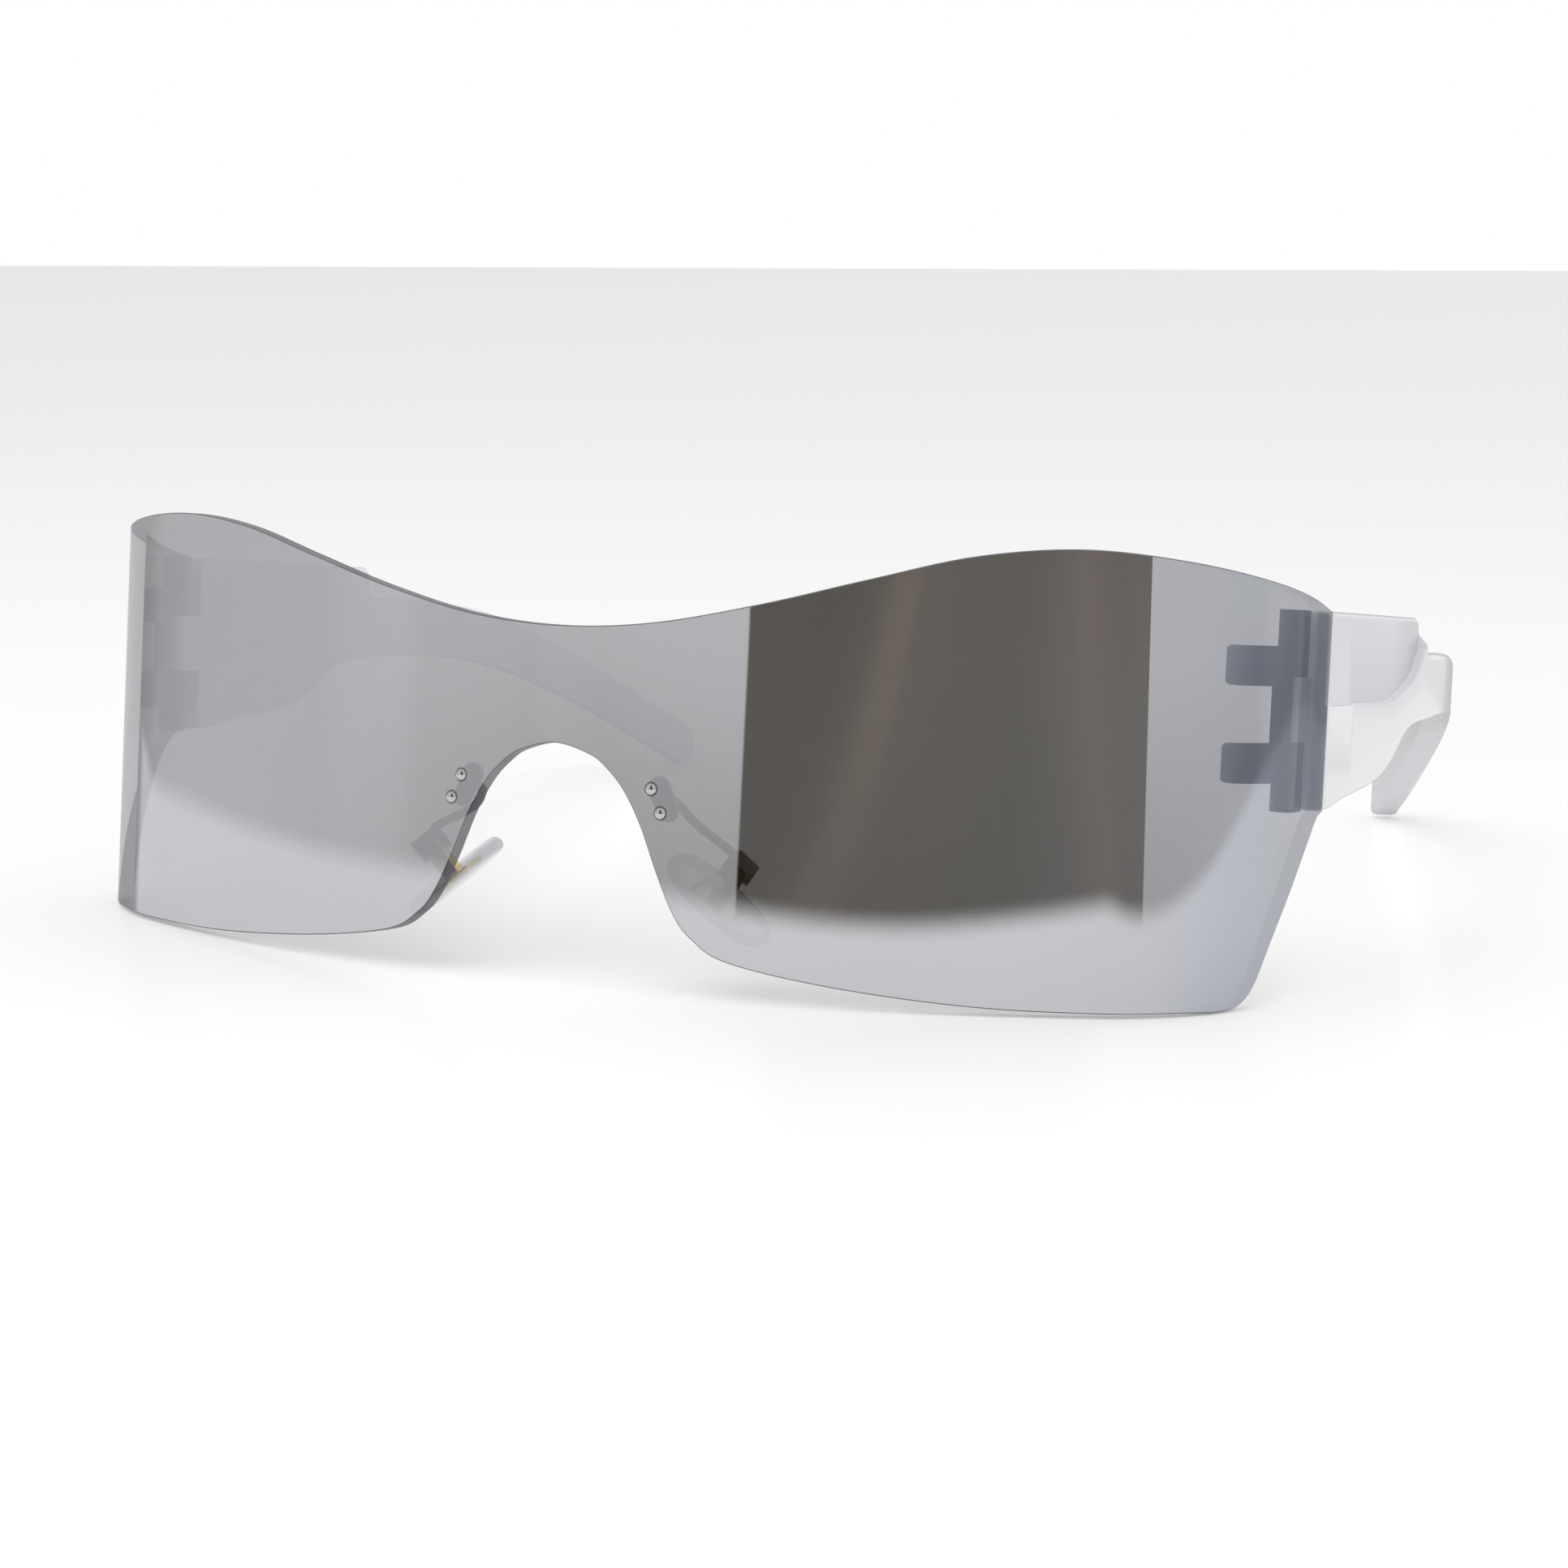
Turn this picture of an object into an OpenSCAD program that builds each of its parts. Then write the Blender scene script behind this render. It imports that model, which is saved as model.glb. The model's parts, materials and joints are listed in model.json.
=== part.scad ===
// Shield sunglasses: one wrapped mirror lens, two bonded end pieces, two folding
// temples on hinge screws, and two rocking nose pads on riveted wire arms.
// Left and right are the wearer's. Heights are measured from a level line
// through the bridge, and runs are measured along the lens's front face.

/* [Lens] */
// Width across the lens
lens_w = 146; // [138:1:154]
// Thickness of the lens
lens_t = 1.8; // [1.5:0.1:2.2]
// Radius of the nearly flat front
front_r = 160; // [130:5:200]
// Radius where the corner begins to turn
corner_r = 25; // [23:0.5:28]
// Radius of the tighter rest of the corner
corner_tight_r = 20.4; // [18:0.2:22]
// Turn at which the tighter radius takes over, in degrees
corner_turn = 43; // [38:1:48]
// Straight run at each end of the lens
end_run = 3.1; // [3:0.1:5]

/* [Lens edge] */
// Height of the top edge at the bridge
bridge_top = 7.5; // [5:0.5:10]
// Height of the top edge at the brows
brow_top = 17.7; // [14:0.1:20]
// Height of the lens's top corner at each end
end_top = 12.6; // [12:0.1:14]
// Drop to the top of the nose arch
arch_drop = 4.9; // [3:0.1:6]
// Drop to the lowest point under each eye
lobe_drop = 29.2; // [27:0.1:32]
// Drop to the lower corner of each end
end_drop = 8.4; // [7.5:0.1:10]
// Run from the middle to the foot of the nose arch
arch_run = 20.6; // [18:0.1:23]
// Run from each end back to the lower corner
corner_run = 17.3; // [14:0.1:20]

/* [End pieces] */
// Thickness of the end piece's plate
plate_t = 1.5; // [1.3:0.1:2.2]
// Run of the plate along the lens
plate_run = 5.8; // [5.6:0.1:8]
// Reach of the plate's middle ahead of its ends
spine_reach = 2.4; // [1:0.1:4]
// Reach of the prongs ahead of the plate
prong_reach = 10.7; // [6:0.1:12]
// Height of each prong
prong_h = 4.1; // [3:0.1:4.3]
// Rounding of the prongs' tips
prong_round = 0.8; // [0.4:0.1:1.4]
// Inset of the upper prong from the plate's top
upper_inset = 3.8; // [2:0.1:5]
// Inset of the lower prong from the plate's foot
lower_inset = 3.1; // [2:0.1:4]
// Height of the upper hinge knuckle
upper_knuckle_h = 7; // [5:0.1:8]
// Height of the lower hinge knuckle
lower_knuckle_h = 7.2; // [5:0.1:8]
// Radius of the hinge knuckles
knuckle_r = 1.3; // [1.2:0.05:1.6]
// Length of the knuckles behind the hinge axis
knuckle_back = 2.4; // [1.5:0.1:3]
// Bond line between the end piece and the lens
bond_gap = 0.05; // [0.03:0.01:0.1]

/* [Hinges] */
// Diameter of the hinge screw's shank
pin_d = 1.2; // [1:0.1:1.4]
// Diameter of the hinge screw's head
pin_head_d = 1.9; // [1.7:0.1:2]
// Height of the hinge screw's head
pin_head_h = 0.8; // [0.5:0.1:1.2]
// Width of the driver slot in each screw head
slot_w = 0.35; // [0.2:0.05:0.45]
// Depth of the driver slot
slot_depth = 0.35; // [0.2:0.05:0.45]
// Distance from the hinge axis back to the temple's front face
hinge_back = 4.2; // [3.8:0.1:4.6]
// Gap between the lens's end and the temple's front face
stop_gap = 0.15; // [0.1:0.05:0.3]

/* [Temples] */
// Thickness of the temple
temple_t = 3.5; // [3.2:0.1:4]
// Length of the deep side panel, back to its rear corner
side_len = 37.1; // [30:0.1:42]
// Fall of the panel's top edge towards its rear corner
side_fall = 0.4; // [0:0.1:1]
// Run of the step down behind the side panel
step_run = 2.4; // [2:0.1:5]
// Drop from the panel's top to the arm's top
side_step = 4; // [2:0.1:5]
// Distance from the temple's front face to where the slim arm begins
arm_start = 45.5; // [42:0.5:55]
// Height of the arm where it begins
arm_h = 7.5; // [6:0.1:9]
// Height of the tip
tip_h = 6; // [5:0.1:7.5]
// Length of the slim arm, back to the tip's centre
arm_len = 50.7; // [45:0.1:60]
// Drop of the tip below the arm's beginning
tip_drop = 15.6; // [12:0.1:20]
// Inward bend of the tip towards the head
tip_in = 18.4; // [10:0.1:20]
// Length of the tip's rounded end
tip_round = 2.5; // [2:0.1:3]
// Rounding of the temple's long edges
edge_r = 0.7; // [0.4:0.1:1.1]
// Depth of the recessed side panel at its front
recess_front = 0.25; // [0.1:0.05:0.4]
// Depth of the recessed side panel at its rear
recess_rear = 1.1; // [0.6:0.1:1.4]
// Height of the side panel's lower line
panel_line = 2.7; // [1:0.1:4]
// Run over which the panel's lower line rises to the step
line_run = 18; // [12:0.5:24]
// Length of the boss that carries the hinge tongue
boss_len = 5; // [4:0.5:8]

/* [Nose rivets] */
// Run from the middle of the lens to the rivet pair
rivet_run = 12; // [10:0.1:13]
// Drop to the middle of the rivet pair
rivet_drop = 10.2; // [9:0.1:12]
// Spacing of the two rivets
rivet_pitch = 2.7; // [2.5:0.1:3.4]
// Slant of the rivet pair, in degrees
rivet_slant = 25; // [0:1:35]
// Diameter of each hole in the lens
lens_hole_d = 1.5; // [1.4:0.05:1.7]
// Wall of the clear sleeve in each hole
sleeve_wall = 0.2; // [0.15:0.05:0.25]
// Diameter of each rivet's shank
rivet_d = 1; // [0.8:0.05:1.02]
// Diameter of each rivet's domed head on the lens's front
dome_d = 1.3; // [1.1:0.05:1.5]
// Height of each domed head
dome_h = 0.45; // [0.2:0.05:0.55]
// Diameter of each rivet's head behind the plate
rivet_head_d = 1.3; // [1.2:0.05:1.6]
// Height of each rivet's head behind the plate
rivet_head_h = 0.35; // [0.2:0.05:0.6]
// Thickness of the rivet plate
rivet_plate_t = 0.6; // [0.4:0.1:1]
// Radius of the plate's upper lobe
upper_lobe_r = 1.25; // [1.1:0.05:1.4]
// Radius of the plate's lower lobe
lower_lobe_r = 1.05; // [1:0.05:1.3]

/* [Pad arms] */
// Diameter of the arm's wire
wire_d = 0.95; // [0.8:0.05:1.1]
// Distance that the wire stands back from the rivet plate
wire_back = 3.1; // [2.5:0.1:3.6]
// Sideways run of the wire over its first bend
wire_out = 1.8; // [1:0.1:2.6]
// Fall of the wire over its first bend
wire_fall = 2.6; // [1.8:0.1:3.4]

/* [Nose pads] */
// Sideways place of the pad's pivot
pivot_x = 18.6; // [17:0.1:20]
// Place of the pad's pivot behind the bridge's front face
pivot_y = 6.9; // [6.4:0.1:8]
// Drop to the pad's pivot
pivot_drop = 17.4; // [16.4:0.1:19]
// Slope of the pad's long way, in degrees
pad_slope = 37.5; // [30:0.5:45]
// Lean of the pad's short way, in degrees
pad_lean = 16.5; // [10:0.5:22]
// Toe of the pad about the upright, in degrees
pad_toe = 4.5; // [0:0.5:8]
// Length of the pad
pad_len = 13.6; // [12:0.1:15]
// Width of the pad
pad_w = 7; // [6.4:0.1:7.4]
// Thickness of the pad
pad_t = 2.1; // [1.8:0.1:2.4]
// Distance from the pivot to the middle of the pad
pad_reach = 4.3; // [3.8:0.1:4.8]
// Length of the metal insert's loop
insert_len = 5.8; // [5:0.1:8]
// Width of the metal insert's loop
insert_w = 3.8; // [3:0.1:4.4]
// Width of the metal strip of the loop
insert_strip = 0.5; // [0.4:0.1:0.8]
// Thickness of the metal insert
insert_t = 0.4; // [0.3:0.05:0.6]
// Width of the insert's boss, along the pad
boss_w = 1.9; // [1.7:0.1:2.1]
// Thickness of the insert's boss, along its screw
boss_t = 1.4; // [1.2:0.1:1.6]
// Thickness of the pad box's cheeks and back
box_wall = 0.45; // [0.35:0.05:0.6]
// Width of the pad box, along the pad
box_w = 2.8; // [2.6:0.1:3.2]
// Length of the cheeks beyond the pivot
box_lip = 1.1; // [0.9:0.1:1.2]
// Diameter of the pad screw's shank
pad_screw_d = 0.9; // [0.7:0.05:1]
// Diameter of the pad screw's head
pad_head_d = 1.5; // [1.3:0.1:1.7]
// Height of the pad screw's head
pad_head_h = 0.4; // [0.3:0.05:0.6]

/* [Fits] */
// Radial clearance of a turning screw
turn_gap = 0.05; // [0.03:0.01:0.08]
// Radial clearance of a seated pin or sleeve
seat_gap = 0.02; // [0.01:0.01:0.03]
// Clearance at each side of a tongue between knuckles or cheeks
side_gap = 0.1; // [0.06:0.02:0.16]

/* [Hidden] */

$fn = 48;
// Overrun of a cut past the face that it opens
over = 0.5;
// Radian, in degrees
radian = 180 / PI;
// Points to each span of a smooth line
span_steps = 8;

// Plan of the lens: a flat front arc, an easing corner arc, a tight corner arc
// and a straight end, each tangent to the next
half_w = lens_w / 2;
ease_r = front_r - corner_r;
tighten_r = corner_r - corner_tight_r;
front_turn = asin((half_w - corner_tight_r - tighten_r * sin(corner_turn)) / ease_r);
front_run = front_r * front_turn / radian;
ease_run = corner_r * (corner_turn - front_turn) / radian;
tight_run = corner_tight_r * (90 - corner_turn) / radian;
curved_run = front_run + ease_run + tight_run;
lens_run = curved_run + end_run;
ease_centre = [ease_r * sin(front_turn), front_r - ease_r * cos(front_turn)];
tight_centre = ease_centre + tighten_r * [sin(corner_turn), -cos(corner_turn)];
lens_end_y = tight_centre.y + end_run;

// Upper edge: share of the lens's run, share of the rise from bridge to brow
brow_shares = [
    [0, 0], [0.12, 0.075], [0.25, 0.31], [0.38, 0.615], [0.5, 0.885],
    [0.62, 1], [0.74, 0.93], [0.87, 0.745]
];
// Nose arch: share of its run, share of the drop from arch to lobe
arch_shares = [
    [0, 0], [0.2, 0.04], [0.3, 0.095], [0.4, 0.185], [0.5, 0.33],
    [0.6, 0.53], [0.7, 0.7], [0.8, 0.795], [1, 0.885]
];
// Lower edge under the eye: share of the run from arch to corner, same drop
lobe_shares = [[0.22, 0.955], [0.5, 0.995], [0.75, 0.992], [0.92, 0.975]];
// Lower corner: share of the corner's run, share of its rise to the lens's end
corner_shares = [
    [0, 0.965], [0.14, 0.93], [0.25, 0.835], [0.38, 0.62], [0.55, 0.38],
    [0.72, 0.175], [0.88, 0.04]
];
lobe_span = lobe_drop - arch_drop;
eye_run = lens_run - corner_run - arch_run;
top_points = concat(
    [for (q = brow_shares) [q[0] * lens_run, bridge_top + q[1] * (brow_top - bridge_top)]],
    [[lens_run, end_top]]
);
bottom_points = concat(
    [for (q = arch_shares) [q[0] * arch_run, -arch_drop - q[1] * lobe_span]],
    [for (q = lobe_shares) [arch_run + q[0] * eye_run, -arch_drop - q[1] * lobe_span]],
    [for (q = corner_shares)
        [lens_run - corner_run * (1 - q[0]), -end_drop - q[1] * (lobe_drop - end_drop)]],
    [[lens_run, -end_drop]]
);
top_line = smooth_line(top_points);
bottom_line = smooth_line(bottom_points);

// Stations along half the lens: fine round the arch and the corner, wide between
arch_stations = 18;
eye_stations = 10;
corner_stations = 24;
half_stations = concat(
    [for (i = [1:arch_stations]) arch_run * i / arch_stations],
    [for (i = [1:eye_stations]) arch_run + (front_run - arch_run) * i / eye_stations],
    [for (i = [1:corner_stations])
        front_run + (lens_run - front_run) * i / corner_stations]
);
stations = concat(
    [for (i = [len(half_stations) - 1:-1:0]) -half_stations[i]], [0], half_stations
);

// End piece and hinge, in plan
plate_depth = lens_t + bond_gap;
plate_start = lens_run - plate_run;
spine_start = plate_start - spine_reach;
prong_start = plate_start - prong_reach;
upper_prong_z = end_top - upper_inset - prong_h;
lower_prong_z = -end_drop + lower_inset;
band_steps = 16;
butt_y = lens_end_y + stop_gap;
hinge_x = half_w - plate_depth - knuckle_r;
hinge_y = butt_y - hinge_back;
tongue_r = knuckle_r - side_gap / 2;
pin_r = pin_d / 2;
knuckle_low_z = -end_drop + lower_knuckle_h;
knuckle_high_z = end_top - upper_knuckle_h;
// Clear space ahead of the tongue in the end piece
notch_gap = 0.5;

// Temple, in plan and from the side
side_front_x = half_w - temple_t / 2;
arm_y = butt_y + arm_start;
corner_top = end_top - side_fall;
arm_top = corner_top - side_step;
arm_foot = arm_top - arm_h;
arm_mid_z = arm_top - arm_h / 2;
tip_y = arm_y + arm_len;
corner_y = butt_y + side_len;
// Step behind the side panel: share of its run, share of its drop
step_shares = [
    [0, 0], [0.1, 0.02], [0.2, 0.12], [0.3, 0.36], [0.42, 0.66],
    [0.58, 0.86], [0.78, 0.965], [1, 1]
];
// Lower edge of the side panel: share of the way to the arm, share of the rise
under_shares = [
    [0, 0], [0.2, 0.125], [0.41, 0.245], [0.5, 0.35], [0.58, 0.53],
    [0.67, 0.8], [0.78, 0.935], [1, 1]
];
// Arm: share of its length, share of the tip's drop
arm_shares = [
    [0, 0], [0.18, 0.015], [0.37, 0.09], [0.55, 0.26], [0.74, 0.52], [0.92, 0.845], [1, 1]
];
// Panel line's rise at its rear: share of the run, share of the rise to the arm
line_shares = [[0, 0], [0.2, 0.02], [0.4, 0.14], [0.6, 0.32], [0.8, 0.56], [0.92, 0.9], [1, 1.15]];
step_line = smooth_line([for (q = step_shares)
    [corner_y + q[0] * step_run, corner_top - q[1] * side_step]]);
upper_side = concat([[butt_y, end_top]], step_line, [[arm_y, arm_top]]);
lower_side = smooth_line([for (q = under_shares)
    [butt_y + q[0] * arm_start, -end_drop + q[1] * (arm_foot + end_drop)]]);
arm_drops = smooth_line([for (q = arm_shares) [arm_y + q[0] * arm_len, q[1] * tip_drop]]);
bend_run = tip_y - corner_y;
panel_rise = smooth_line([for (q = line_shares)
    [corner_y + step_run / 2 - line_run * (1 - q[0]), panel_line + q[1] * (arm_top - panel_line)]]);
// Half height of the ledge under the recess, and the height over which it fades out
ledge = 0.12;
ledge_fade = 1.5;
side_stations = 12;
step_stations = 10;
arm_stations = 30;
round_stations = 4;
temple_stations = concat(
    [for (i = [0:side_stations]) butt_y + side_len * i / side_stations],
    [for (i = [1:step_stations]) corner_y + step_run * i / step_stations],
    [for (i = [1:arm_stations])
        corner_y + step_run + (tip_y - corner_y - step_run) * i / arm_stations]
);

// Nose hardware, in its own frames
rivet_r = rivet_d / 2;
sleeve_r = lens_hole_d / 2 - seat_gap;
plate_front = lens_t + bond_gap;
plate_rear = plate_front + rivet_plate_t;
wire_r = wire_d / 2;
wire_sides = 12;
box_gap = boss_t / 2 + side_gap;
box_half = box_gap + box_wall;
box_back = boss_w / 2 + side_gap;
box_top = box_back + box_wall;
wire_foot = lens_point(rivet_run, plate_rear);
pad_turn = [pad_lean, pad_slope, pad_toe];
pivot = [pivot_x, pivot_y, -pivot_drop];
wire_end = pivot - box_w / 2 * pad_along() + (box_back + box_wall / 2) * pad_normal();
// Wire's first bend: shares of its way out, its way back and its fall
wire_shares = [[0, 0, 0], [0, 0.55, 0.04], [0.12, 1, 0.3], [1, 1.3, 1]];
wire_points = concat(
    [for (q = wire_shares) [
        wire_foot.x + q[0] * wire_out,
        wire_foot.y + q[1] * wire_back,
        -rivet_drop - q[2] * wire_fall
    ]],
    [wire_end - wire_d * pad_along(), wire_end]
);
pad_points = 32;
// Fullness of the pad's oval: 2 is an ellipse, more is squarer
pad_power = 2.4;

// Resting pose: the lens's lobes and the tips of the temples stand on the table
tip_low = arm_mid_z - tip_drop - tip_h / 2;
lobe_station = arch_run + eye_run / 2;
lobe_low = lens_point(lobe_station, lens_t);
lean = atan2(tip_low + lobe_drop, tip_y - lobe_low.y);
contact_points = concat(
    [for (s = half_stations) each lens_ring(s)],
    [for (ring = temple_rings()) each ring]
);
rest_z = -min([for (p = contact_points) p.z * cos(lean) - p.y * sin(lean)]);
contact_y = [for (p = contact_points) p.y * cos(lean) + p.z * sin(lean)];
rest_y = -(min(contact_y) + max(contact_y)) / 2;

// Point at share u of the span from b to c on a smooth line through a, b, c, d
function span_point(a, b, c, d, u) =
    (2 * b + (c - a) * u + (2 * a - 5 * b + 4 * c - d) * u * u
        + (3 * b - a - 3 * c + d) * u * u * u) / 2;

// Smooth line through points, level where it starts, as a table for lookup()
function smooth_line(points) =
    let (
        n = len(points),
        first = [2 * points[0].x - points[1].x, points[1].y],
        after = 2 * points[n - 1] - points[n - 2],
        all = concat([first], points, [after])
    )
    concat(
        [for (i = [1:n - 1]) for (j = [0:span_steps - 1])
            span_point(all[i - 1], all[i], all[i + 1], all[i + 2], j / span_steps)],
        [points[n - 1]]
    );

// Smooth path through points in space
function smooth_path(points) =
    let (
        n = len(points),
        all = concat([2 * points[0] - points[1]], points,
            [2 * points[n - 1] - points[n - 2]])
    )
    concat(
        [for (i = [1:n - 1]) for (j = [0:span_steps - 1])
            span_point(all[i - 1], all[i], all[i + 1], all[i + 2], j / span_steps)],
        [points[n - 1]]
    );

// Turn of the lens's face at a run from the middle, in degrees
function lens_turn(s) =
    s < front_run ? s / front_r * radian
    : s < front_run + ease_run ? front_turn + (s - front_run) / corner_r * radian
    : s < curved_run ? corner_turn + (s - front_run - ease_run) / corner_tight_r * radian
    : 90;

// Point of the lens in plan, at a run from the middle and a depth behind its face
function lens_point(s, depth) =
    let (
        run = abs(s),
        turn = lens_turn(run),
        out = [sin(turn), -cos(turn)],
        p = run < front_run ? [0, front_r] + (front_r - depth) * out
            : run < front_run + ease_run ? ease_centre + (corner_r - depth) * out
            : run < curved_run ? tight_centre + (corner_tight_r - depth) * out
            : [half_w - depth, tight_centre.y + run - curved_run]
    )
    [s < 0 ? -p.x : p.x, p.y];

// Section of the lens at a run, as four corners
function lens_ring(s) =
    let (
        face = lens_point(s, 0),
        back = lens_point(s, lens_t),
        high = lookup(abs(s), top_line),
        low = lookup(abs(s), bottom_line)
    )
    [
        [face.x, face.y, low], [back.x, back.y, low],
        [back.x, back.y, high], [face.x, face.y, high]
    ];

// Strip that follows the lens in plan between two runs and two depths
function band_points(from, to, near, far) = concat(
    [for (i = [0:band_steps]) lens_point(from + (to - from) * i / band_steps, near)],
    [for (i = [band_steps:-1:0]) lens_point(from + (to - from) * i / band_steps, far)]
);

// Bend of the temple in plan, its heading and its heights, at a place along it:
// flat at the side panel, and a steady curve from the panel's rear corner on
function temple_in(y) = tip_in * pow(max(0, y - corner_y) / bend_run, 2);
function temple_heading(y) = atan(2 * tip_in * max(0, y - corner_y) / pow(bend_run, 2));
function temple_high(y) =
    y < arm_y ? lookup(y, upper_side)
    : arm_mid_z - lookup(y, arm_drops) + arm_height(y) / 2;
function temple_low(y) =
    y < arm_y ? lookup(y, lower_side)
    : arm_mid_z - lookup(y, arm_drops) - arm_height(y) / 2;
function arm_height(y) = arm_h + (tip_h - arm_h) * (y - arm_y) / arm_len;

// Depth of the recess above the panel line, deeper to the rear
function temple_recess(y) =
    y > corner_y + step_run ? 0
    : (recess_front + (recess_rear - recess_front) * (y - butt_y) / side_len)
        * max(0, min(1, (temple_high(y) - edge_r - lookup(y, panel_rise)) / ledge_fade));

// Section of the temple: a rounded bar between two heights, whose outer side is
// set in by a recess above a line
function bar_ring(x, y, heading, thick, low, high, line, recess) =
    let (
        a = thick / 2,
        b = a - recess,
        r = min(edge_r, a / 2, (high - low) / 4),
        k = r * (1 - sqrt(0.5)),
        level = min(line, high - r - 2 * ledge),
        side = [
            [a, low + r], [a - k, low + k], [a - r, low],
            [r - a, low], [k - a, low + k], [-a, low + r],
            [-a, high - r], [k - a, high - k], [r - a, high],
            [b - r, high], [b - k, high - k], [b, high - r],
            [b, level + ledge], [a, level - ledge]
        ]
    )
    [for (q = side) [x + q[0] * cos(heading), y + q[0] * sin(heading), q[1]]];

function temple_rings() =
    let (
        last = tip_y,
        heading = temple_heading(last),
        mid = (temple_high(last) + temple_low(last)) / 2
    )
    concat(
        [for (y = temple_stations)
            bar_ring(side_front_x - temple_in(y), y, temple_heading(y), temple_t,
                temple_low(y), temple_high(y), lookup(y, panel_rise),
                temple_recess(y))],
        [for (i = [1:round_stations])
            let (
                u = i / (round_stations + 1 / 2),
                fill = sqrt(1 - u * u),
                fall = tip_round * u * tip_drop / arm_len
            )
            bar_ring(side_front_x - temple_in(last) - tip_round * u * sin(heading),
                last + tip_round * u * cos(heading), heading, temple_t * fill,
                mid - fall - tip_h / 2 * fill, mid - fall + tip_h / 2 * fill, mid, 0)]
    );

// Outward normal of the pad, from its tilts
function pad_normal() = [
    cos(pad_toe) * sin(pad_slope) * cos(pad_lean) + sin(pad_toe) * sin(pad_lean),
    sin(pad_toe) * sin(pad_slope) * cos(pad_lean) - cos(pad_toe) * sin(pad_lean),
    cos(pad_slope) * cos(pad_lean)
];

// Direction along the pad, away from the nose and down
function pad_along() =
    [cos(pad_toe) * cos(pad_slope), sin(pad_toe) * cos(pad_slope), -sin(pad_slope)];

// Ring of a round wire at one point of its path
function wire_ring(path, i) =
    let (
        n = len(path),
        way = path[min(i + 1, n - 1)] - path[max(i - 1, 0)],
        ahead = way / norm(way),
        level = cross(ahead, [0, 1, 0]),
        u = level / norm(level),
        v = cross(ahead, u)
    )
    [for (k = [0:wire_sides - 1])
        path[i] + wire_r * (cos(360 * k / wire_sides) * u + sin(360 * k / wire_sides) * v)];

// Oval of the pad, grown or shrunk
function oval(len, wide) = [for (k = [0:pad_points - 1])
    let (c = cos(360 * k / pad_points), s = sin(360 * k / pad_points))
    [len / 2 * sign(c) * pow(abs(c), 2 / pad_power), wide / 2 * sign(s) * pow(abs(s), 2 / pad_power)]];

// Middle of a ring
function ring_middle(ring) = [for (p = ring) 1] * ring / len(ring);

// Closed skin over a row of rings, each running clockwise as seen along the row,
// with a fan of triangles over each end
module loft(rings) {
    count = len(rings[0]);
    last = len(rings) - 1;
    first_middle = len(rings) * count;
    polyhedron(
        points = concat(
            [for (ring = rings) each ring],
            [ring_middle(rings[0]), ring_middle(rings[last])]
        ),
        faces = concat(
            [for (k = [0:count - 1]) [first_middle, k, (k + 1) % count]],
            [for (i = [0:last - 1]) for (k = [0:count - 1])
                let (a = i * count + k, b = i * count + (k + 1) % count)
                each [[a, a + count, b + count], [a, b + count, b]]],
            [for (k = [0:count - 1])
                [first_middle + 1, last * count + (k + 1) % count, last * count + k]]
        )
    );
}

// The whole assembly's place: leaned back on its lobes and temple tips
module seated() {
    translate([0, rest_y, rest_z]) rotate([-lean, 0, 0]) children();
}

module left_side() { seated() children(); }
module right_side() { seated() mirror([1, 0, 0]) children(); }

// Place on the lens: x along it, y into it from its front face, z up
module on_lens(s, z) {
    p = lens_point(s, 0);
    translate([p.x, p.y, z]) rotate([0, 0, lens_turn(s)]) children();
}

// The two rivet places, in the lens's own frame
module at_rivets() {
    for (way = [-1, 1])
        on_lens(rivet_run, -rivet_drop) rotate([0, -rivet_slant, 0])
            translate([0, 0, way * rivet_pitch / 2]) children();
}

// Round bar along the lens's depth
module depth_rod(r, from, to) {
    translate([0, from, 0]) rotate([-90, 0, 0]) cylinder(r = r, h = to - from);
}

module lens_shape() {
    difference() {
        loft([for (s = stations) lens_ring(s)]);
        for (side = [0, 1]) mirror([side, 0, 0])
            at_rivets() depth_rod(lens_hole_d / 2, -over, lens_t + over);
    }
}

// Upright at the hinge axis
module at_hinge(z) { translate([hinge_x, hinge_y, z]) children(); }

module knuckle(low, high) {
    at_hinge(low) {
        cylinder(r = knuckle_r, h = high - low);
        cube([knuckle_r, knuckle_back, high - low]);
    }
}

// Curved slab that follows the lens, between two runs, depths and heights
module band(from, to, near, far, low, high) {
    translate([0, 0, low]) linear_extrude(high - low) polygon(band_points(from, to, near, far));
}

// Cut ahead of a run of the end piece, between two heights
module band_cut(to, low, high) {
    band(prong_start - over, to, plate_depth - over, plate_depth + plate_t + over, low, high);
}

// Cut that rounds the two corners of a prong's tip
module tip_cut(z) {
    straight = prong_h / 2 - prong_round;
    on_lens(prong_start + prong_round, z + prong_h / 2)
        rotate([-90, 0, 0]) linear_extrude(plate_depth + plate_t + over) difference() {
            translate([-prong_round - over, -prong_h / 2 - over])
                square([prong_round + over, prong_h + 2 * over]);
            for (way = [-1, 1]) translate([0, way * straight]) circle(prong_round);
            translate([-prong_round, -straight]) square([prong_round, 2 * straight]);
        }
}

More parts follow.
